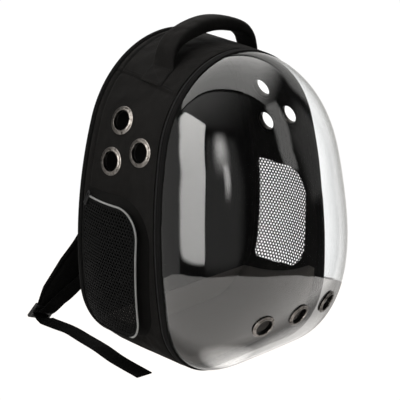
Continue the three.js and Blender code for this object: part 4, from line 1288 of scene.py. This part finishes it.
def smooth_line(places, count):
    """Places and directions along a smooth line through a list of places, with a count of steps."""
    points = [np.array(place, dtype=float) for place in places]
    points = [2 * points[0] - points[1], *points, 2 * points[-1] - points[-2]]
    samples = []
    for step in range(count + 1):
        travel = step / count * (len(places) - 1)
        low = min(int(travel), len(places) - 2)
        t = travel - low
        p0, p1, p2, p3 = points[low:low + 4]
        gaps = [max(np.linalg.norm(b - a) ** 0.5, 1e-9) for a, b in ((p0, p1), (p1, p2), (p2, p3))]
        m1 = ((p1 - p0) / gaps[0] - (p2 - p0) / (gaps[0] + gaps[1]) + (p2 - p1) / gaps[1]) * gaps[1]
        m2 = ((p2 - p1) / gaps[1] - (p3 - p1) / (gaps[1] + gaps[2]) + (p3 - p2) / gaps[2]) * gaps[1]
        a = -3 * p1 + 3 * p2 - 2 * m1 - m2
        b = 2 * p1 - 2 * p2 + m1 + m2
        place = p1 + m1 * t + a * t**2 + b * t**3
        way = m1 + 2 * a * t + 3 * b * t**2
        samples.append((Vector(place), Vector(way).normalized(), travel))
    return samples


def strip(name, samples, section):
    """A section carried along a line and closed at both ends.

    Samples are place, direction, across, width and thickness. The piece and its length are given back.
    """
    columns = len(samples) - 1

    def place(u, v):
        at, way, across, width, thickness = samples[round(u * columns)]
        side = (across - across.dot(way) * way).normalized()
        up = side.cross(way).normalized()
        a, b = section[round(v * len(section)) % len(section)]
        return at + side * (a * width / 2) + up * (b * thickness / 2)

    length = sum((b[0] - a[0]).length for a, b in zip(samples, samples[1:]))
    girth = 2 * max(sample[3] for sample in samples)
    piece = laid_grid(name, columns, len(section), place, (length, girth))
    close_up(piece, capped=True)
    smooth(piece, 50)
    return piece, length


pipe_path = [
    (pocket_face_x(y, z) + POCKET_WALL + SEAT_GAP + PIPE_RADIUS, y, z)
    for y, z in face_loop if y < POCKET_BACK - 2 * POCKET_BACK_RADIUS
]
pipe_samples = [
    (at, way, Vector((1, 0, 0)), 2 * PIPE_RADIUS, 2 * PIPE_RADIUS)
    for at, way, _ in smooth_line(pipe_path, PIPE_POINTS)
]
pipe, _ = strip("pipe", pipe_samples, round_box(2, 2, 1, 10))
reflective = cloth_material(
    "reflective_piping", PIPE_COLOUR, 0.6 * MM, roughness=0.4, sheen=0.0, relief=0.1 * MM
)
tree = reflective.node_tree
shader = tree.nodes["Principled BSDF"]
height = add_node(tree, "ShaderNodeSeparateXYZ", [object_place(tree)])[2]
woven = shader.inputs["Base Color"].links[0].from_socket
# Painted shade: the piping's colour darkened along the pocket's bottom
fill(tree, shader, {"Base Color": darkened(tree, woven, height, *PIPE_SHADE_HEIGHTS, PIPE_SHADE_TONE, 1.0)})
both_sides(pipe, "pocket_piping_cord", reflective, "reflective", "pocket_piping")

# The pocket's zip pull, flat on the top of its face
PULL_PLACE = (61 * MM, 231 * MM)
PULL_SIZE = (2.4 * MM, 7 * MM, 22 * MM)
PULL_LEAN = 0.5
PULL_STEP = 4 * MM
pull_out = outward(pocket_face_x, *PULL_PLACE, PULL_STEP)
pull_at = Vector((pocket_face_x(*PULL_PLACE) + POCKET_WALL, *PULL_PLACE))
pull_at += pull_out * (PULL_SIZE[0] / 2 + 2 * SEAT_GAP)
pull_turn = Vector((1, 0, 0)).rotation_difference(pull_out).to_matrix().to_4x4()
pull = pull_tab("pull", PULL_SIZE, 0, 0, 0)
set_in_place(pull, Matrix.Translation(pull_at) @ pull_turn @ Matrix.Rotation(PULL_LEAN, 4, "X"))
both_sides(pull, "pocket_pull", plastic, "black_plastic", "pocket_zip_pull")

# Floor mat
# A removable pad of grey plush, flat on the bottom panel. Its sides are pressed up along the walls by the
# round corners of the body, higher towards the dome.
MAT_TOP = 18 * MM
MAT_LAYER = 7 * MM
MAT_BACK_SHARE = 0.04
MAT_FRONT_SHARE = 0.97
MAT_SIDE_HEIGHT = 49 * MM
MAT_SIDE_CLIMB = 42 * MM
MAT_CLIMB_POWER = 2.5
MAT_SEAT = CLOTH_WALL + 3 * SEAT_GAP
MAT_COLUMNS = 100
MAT_ROWS = 48
MAT_SIZE = (144 * MM, 660 * MM)
# The mat's edges are rounded: they lose this share of its thickness, over this reach from its ends and sides
MAT_EDGE_LOSS = 0.7
MAT_EDGE_REACH = 4 * MM
MAT_DEPTH = 150 * MM
MAT_HALF_WIDTH = 180 * MM
MAT_PLUMP = 0.9 * MM
MAT_PLUMP_LENGTH = 30 * MM
MAT_BEND = 4 * MM
MAT_COLOUR = (0.16, 0.148, 0.138)


@lru_cache(maxsize=None)
def mat_edge(share):
    """The station of the mat's side edge at one depth."""
    height = MAT_SIDE_HEIGHT + MAT_SIDE_CLIMB * share**MAT_CLIMB_POWER
    stations = np.linspace(1, 2, 201)
    return max(float(station) for station in stations if outline_point(share, station)[1] < height)


def mat_place(u, v):
    """Round the mat's section: over the top from one edge to the other, then back along the bottom panel."""
    share = mix(MAT_BACK_SHARE, MAT_FRONT_SHARE, u)
    top = v < 0.5
    across = mix(-1, 1, v * 2) if top else mix(1, -1, v * 2 - 1)
    station = mat_edge(share) * abs(across)
    y = band_point(station, share).y
    full = 1.0
    for edge in (min(u, 1 - u) * MAT_DEPTH, (1 - abs(across)) * MAT_HALF_WIDTH):
        full *= 1 - math.exp(-edge / MAT_EDGE_REACH) * MAT_EDGE_LOSS
    x, z = outline_point(share, station, MAT_SEAT + (MAT_LAYER * full if top else 0))
    if top:
        plump = MAT_PLUMP * noise.noise(Vector((x * across, y, 0)) / MAT_PLUMP_LENGTH)
        filled = mix(z, MAT_TOP + plump, full)
        z = (z + filled + math.hypot(z - filled, MAT_BEND)) / 2
    return Vector((math.copysign(x, across), y, z))


mat = laid_grid("floor_mat_plush", MAT_ROWS, MAT_COLUMNS, mat_place, MAT_SIZE)
close_up(mat, capped=True)
smooth(mat, 60)
plush = cloth_material("grey_plush", MAT_COLOUR, 1.1 * MM, roughness=0.95, relief=0.01 * MM, contrast=0.25)
dress(mat, plush, "mat_cloth", "floor_mat")

# Carry handle
# A padded band of nylon, sewn flat to the top panel at both ends and rolled round foam in the middle.
HANDLE_Y = 9 * MM
HANDLE_SEWN_ANGLES = (46, 52, 57)
HANDLE_SEWN_WIDTH = 38 * MM
HANDLE_SEWN_THICKNESS = 2.6 * MM
# Half of its raised part, in mm: X, Z, width and thickness
HANDLE_ROWS = [
    (77, 409, 37, 6), (72, 422.5, 35, 11.5), (60, 434.5, 34, 16.5), (34, 444, 33, 19.5), (0, 448.5, 33, 20),
]
HANDLE_STEPS = 96

handle_top = outline_point(share_at(HANDLE_Y, BODY_HEIGHT), 4)[1] - TOP_RADIUS
top_slope = BACK_HEIGHT_GAIN / (BAND_BACK_Y - rim_y(BODY_HEIGHT) - RIM_TRIM_DEPTH)
sewn_radius = TOP_RADIUS + 2 * SEAT_GAP + HANDLE_SEWN_THICKNESS / 2
half_handle = []
for angle in np.radians(HANDLE_SEWN_ANGLES):
    way_x, way_z = math.cos(angle), math.sin(angle)
    half_handle.append((
        sewn_radius * way_x, handle_top + sewn_radius * way_z,
        HANDLE_SEWN_WIDTH, HANDLE_SEWN_THICKNESS, top_slope * way_x, top_slope * way_z,
    ))
half_handle += [(*(size * MM for size in row), 0, 0) for row in HANDLE_ROWS]
handle_rows = half_handle + [(-x, z, w, t, -wx, wz) for x, z, w, t, wx, wz in half_handle[-2::-1]]


def between_rows(rows, travel):
    """The values of a table at a place between its rows."""
    return [float(np.interp(travel, range(len(rows)), column)) for column in zip(*rows)]


handle_samples = []
for at, way, travel in smooth_line([(x, HANDLE_Y, z) for x, z, *_ in handle_rows], HANDLE_STEPS):
    _, _, width, thickness, lean_x, lean_z = between_rows(handle_rows, travel)
    handle_samples.append((at, way, Vector((lean_x, 1, lean_z)), width, thickness))
handle, _ = strip("handle_pad", handle_samples, round_box(2, 2, 0.55, 36))
dress(handle, nylon, "padding", "handle")

# Box and cross of sewing through each sewn end
FOOT_ANGLES = (47, 56)
FOOT_HALF_WIDTH = 16 * MM


def foot_point(degrees, across, sign):
    """A place on a sewn end's outer face."""
    angle = math.radians(degrees)
    radius = sewn_radius + HANDLE_SEWN_THICKNESS / 2 + SEWING_LIFT + top_slope * across
    return Vector((sign * radius * math.cos(angle), HANDLE_Y + across, handle_top + radius * math.sin(angle)))


low_angle, high_angle = FOOT_ANGLES
corners = [(low_angle, -1), (high_angle, -1), (high_angle, 1), (low_angle, 1)]
foot_lines = []
for sign in SIDES.values():
    for first, last in ((0, 1), (1, 2), (2, 3), (3, 0), (0, 2), (1, 3)):
        (angle_a, side_a), (angle_b, side_b) = corners[first], corners[last]
        foot_lines.append([
            foot_point(mix(angle_a, angle_b, share), mix(side_a, side_b, share) * FOOT_HALF_WIDTH, sign)
            for share in np.linspace(0, 1, 12)
        ])
dress(sewing("handle_sewing", foot_lines), thread, "padding")

# Shoulder straps
# Long foam pads in nylon, bound along their edges. They are sewn to the back panel above and taper to a
# buckle below.
STRAP_STEPS = 120
STRAP_SECTION_COUNT = 33
# Rows of place, width and thickness in mm, and turn in degrees
STRAP_ROWS = [
    ((50, 90.7, 398), 54, 7, 0), ((52, 95.5, 375), 60, 12, 0), ((58, 100, 320), 62, 13, 0),
    ((70, 103, 250), 62, 13, 2), ((87, 111, 185), 61, 13, 8), ((103, 129, 139), 60, 13, 14),
    ((117, 151, 101), 58, 13, 18), ((131, 179, 56), 50, 11, 20), ((138.5, 195.5, 30.5), 32, 6, 20),
]
# Shares of half the pad's width: where its foam ends, and the middle and half width of the rolled tape
BOUND_SHARE = 0.84
ROLL_MIDDLE = 0.92
ROLL_HALF = 0.08
# Shares of the pad's thickness: the rolled tape, and the groove between it and the foam
ROLL_THICKNESS = 0.52
GROOVE_THICKNESS = 0.24
STRAP_COLOUR = (0.006, 0.0059, 0.0058)


def bound_section(count):
    """A pad's section with a groove of sewing inside each edge and a rolled tape along it."""
    half = []
    for step in range(count):
        a = math.cos(math.pi * step / (count - 1))
        pad = (1 - min(abs(a) / BOUND_SHARE, 1) ** 6) ** 0.5
        roll = ROLL_THICKNESS * max(1 - ((abs(a) - ROLL_MIDDLE) / ROLL_HALF) ** 2, 0) ** 0.5
        half.append((a, max(pad, roll, GROOVE_THICKNESS if abs(a) < 0.99 else 0)))
    return half + [(a, -b) for a, b in half[-2:0:-1]]


strap_table = [(width * MM, thickness * MM, math.radians(turn)) for _, width, thickness, turn in STRAP_ROWS]
strap_samples = []
for at, way, travel in smooth_line([Vector(row[0]) * MM for row in STRAP_ROWS], STRAP_STEPS):
    width, thickness, turn = between_rows(strap_table, travel)
    strap_samples.append((at, way, Vector((math.cos(turn), math.sin(turn), 0)), width, thickness))
strap, _ = strip("strap", strap_samples, bound_section(STRAP_SECTION_COUNT))
strap_cloth = cloth_material(
    "strap_padding", STRAP_COLOUR, 1.6 * MM, roughness=0.85, sheen=0.008, relief=0.35 * MM, gloss=0.01,
    folds=4 * MM,
)
for _, own in both_sides(strap, "shoulder_strap_pad", strap_cloth, "padding", "shoulder_strap"):
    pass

# Strap buckles
# Ladder-lock buckles of moulded plastic: a frame with two slots, whose middle bar the webbing turns round.
BUCKLE_SIZE = (36 * MM, 27 * MM, 5 * MM)
BUCKLE_ROUND = 1.6 * MM
BUCKLE_SLOT = (28 * MM, 6.4 * MM, 20 * MM)
BUCKLE_SLOT_ROUND = 0.9 * MM
BUCKLE_SLOT_OFFSET = 5.2 * MM
BUCKLE_EDGE = 0.5 * MM
BUCKLE_DROP = BUCKLE_SIZE[1] / 2 + SEAT_GAP

end_at, buckle_down, end_across, _, _ = strap_samples[-1]
buckle_across = (end_across - end_across.dot(buckle_down) * buckle_down).normalized()
buckle_out = buckle_across.cross(buckle_down).normalized()
buckle_axes = axes_at(end_at + buckle_down * BUCKLE_DROP, buckle_across, buckle_down, buckle_out)
buckle = soft_block(BUCKLE_SIZE, (0, 0, 0), BUCKLE_ROUND)
for offset in (-BUCKLE_SLOT_OFFSET, BUCKLE_SLOT_OFFSET):
    cut_out(buckle, soft_block(BUCKLE_SLOT, (0, offset, 0), BUCKLE_SLOT_ROUND))
edge_limit = math.radians(50)
apply_modifier(buckle, "BEVEL", width=BUCKLE_EDGE, segments=2, limit_method="ANGLE", angle_limit=edge_limit)
set_in_place(buckle, buckle_axes)
both_sides(buckle, "strap_buckle_frame", plastic, "black_plastic", "strap_buckle")

# Strap webbing
# Flat woven webbing from the foot of the back panel, round the buckle's bar, to a free tail on the floor.
WEBBING_WIDTH = 25 * MM
WEBBING_THICKNESS = 1.8 * MM
WEBBING_STEPS = 12
WEBBING_COLOUR = (0.006, 0.0059, 0.0057)
# Rows of place in mm, and the way across the webbing in X and Y
WEBBING_ANCHOR_ROWS = [
    ((84, 87.9, 64), (1, 0)), ((84, 88.1, 80), (1, 0)), ((86, 97, 92), (1, 0)), ((91, 116, 97), (0.98, 0.15)),
    ((101, 137, 87), (0.95, 0.28)), ((117, 160, 61), (0.94, 0.34)), ((132, 175, 41), (0.94, 0.34)),
]
WEBBING_TAIL_ROWS = {
    "left": [
        ((146, 187, 10.5), (0.94, 0.34)), ((143, 170, 9), (0.98, 0.1)), ((136, 147, 5.5), (0.97, -0.2)),
        ((135, 116, 1.5), (0.99, -0.02)), ((140, 76, 1.3), (0.98, 0.16)), ((149, 31, 1.3), (0.98, 0.17)),
        ((156, -32, 1.3), (0.99, 0.1)),
    ],
    "right": [
        ((146, 187, 10.5), (0.94, 0.34)), ((143, 172, 8), (0.96, -0.26)), ((133, 157, 4), (0.78, -0.62)),
        ((114, 147, 1.5), (0.4, -0.92)), ((80, 143, 1.3), (0.05, -1)), ((30, 146, 1.3), (-0.06, -1)),
        ((-25, 150, 1.3), (-0.07, -1)),
    ],
}
# The turn round the buckle's bar, in mm down and out from the buckle's middle
BAR_TURN = [(-5.2, -7), (-5.2, 0), (-3.6, 4.2), (0, 5.4), (3.6, 4.2), (5.2, 0), (5.2, -7)]


def in_metres(rows):
    return [(Vector(at) * MM, Vector((*across, 0))) for at, across in rows]


webbing_cloth = cloth_material(
    "black_webbing", WEBBING_COLOUR, 1.3 * MM, sheen=0.006, relief=0.35 * MM, stretch=(1, 0.5, 1), gloss=0.01
)
bar_rows = [(buckle_axes @ Vector((0, down * MM, out * MM)), buckle_across) for down, out in BAR_TURN]
for side_name, sign in SIDES.items():
    rows = in_metres(WEBBING_ANCHOR_ROWS) + bar_rows + in_metres(WEBBING_TAIL_ROWS[side_name])
    samples = []
    for at, way, travel in smooth_line([at for at, _ in rows], WEBBING_STEPS * (len(rows) - 1)):
        low = min(int(travel), len(rows) - 2)
        across = rows[low][1].lerp(rows[low + 1][1], travel - low)
        samples.append((at, way, across, WEBBING_WIDTH, WEBBING_THICKNESS))
    webbing, webbing_length = strip("strap_webbing_band_right", samples, round_box(2, 2, 0.3, 24))
    if sign < 0:
        unmirrored = webbing
        webbing = mirror_copy(unmirrored, "strap_webbing_band_left")
        bpy.data.objects.remove(unmirrored)
    dress(webbing, webbing_cloth, "edge_tape", f"strap_webbing_{side_name}")
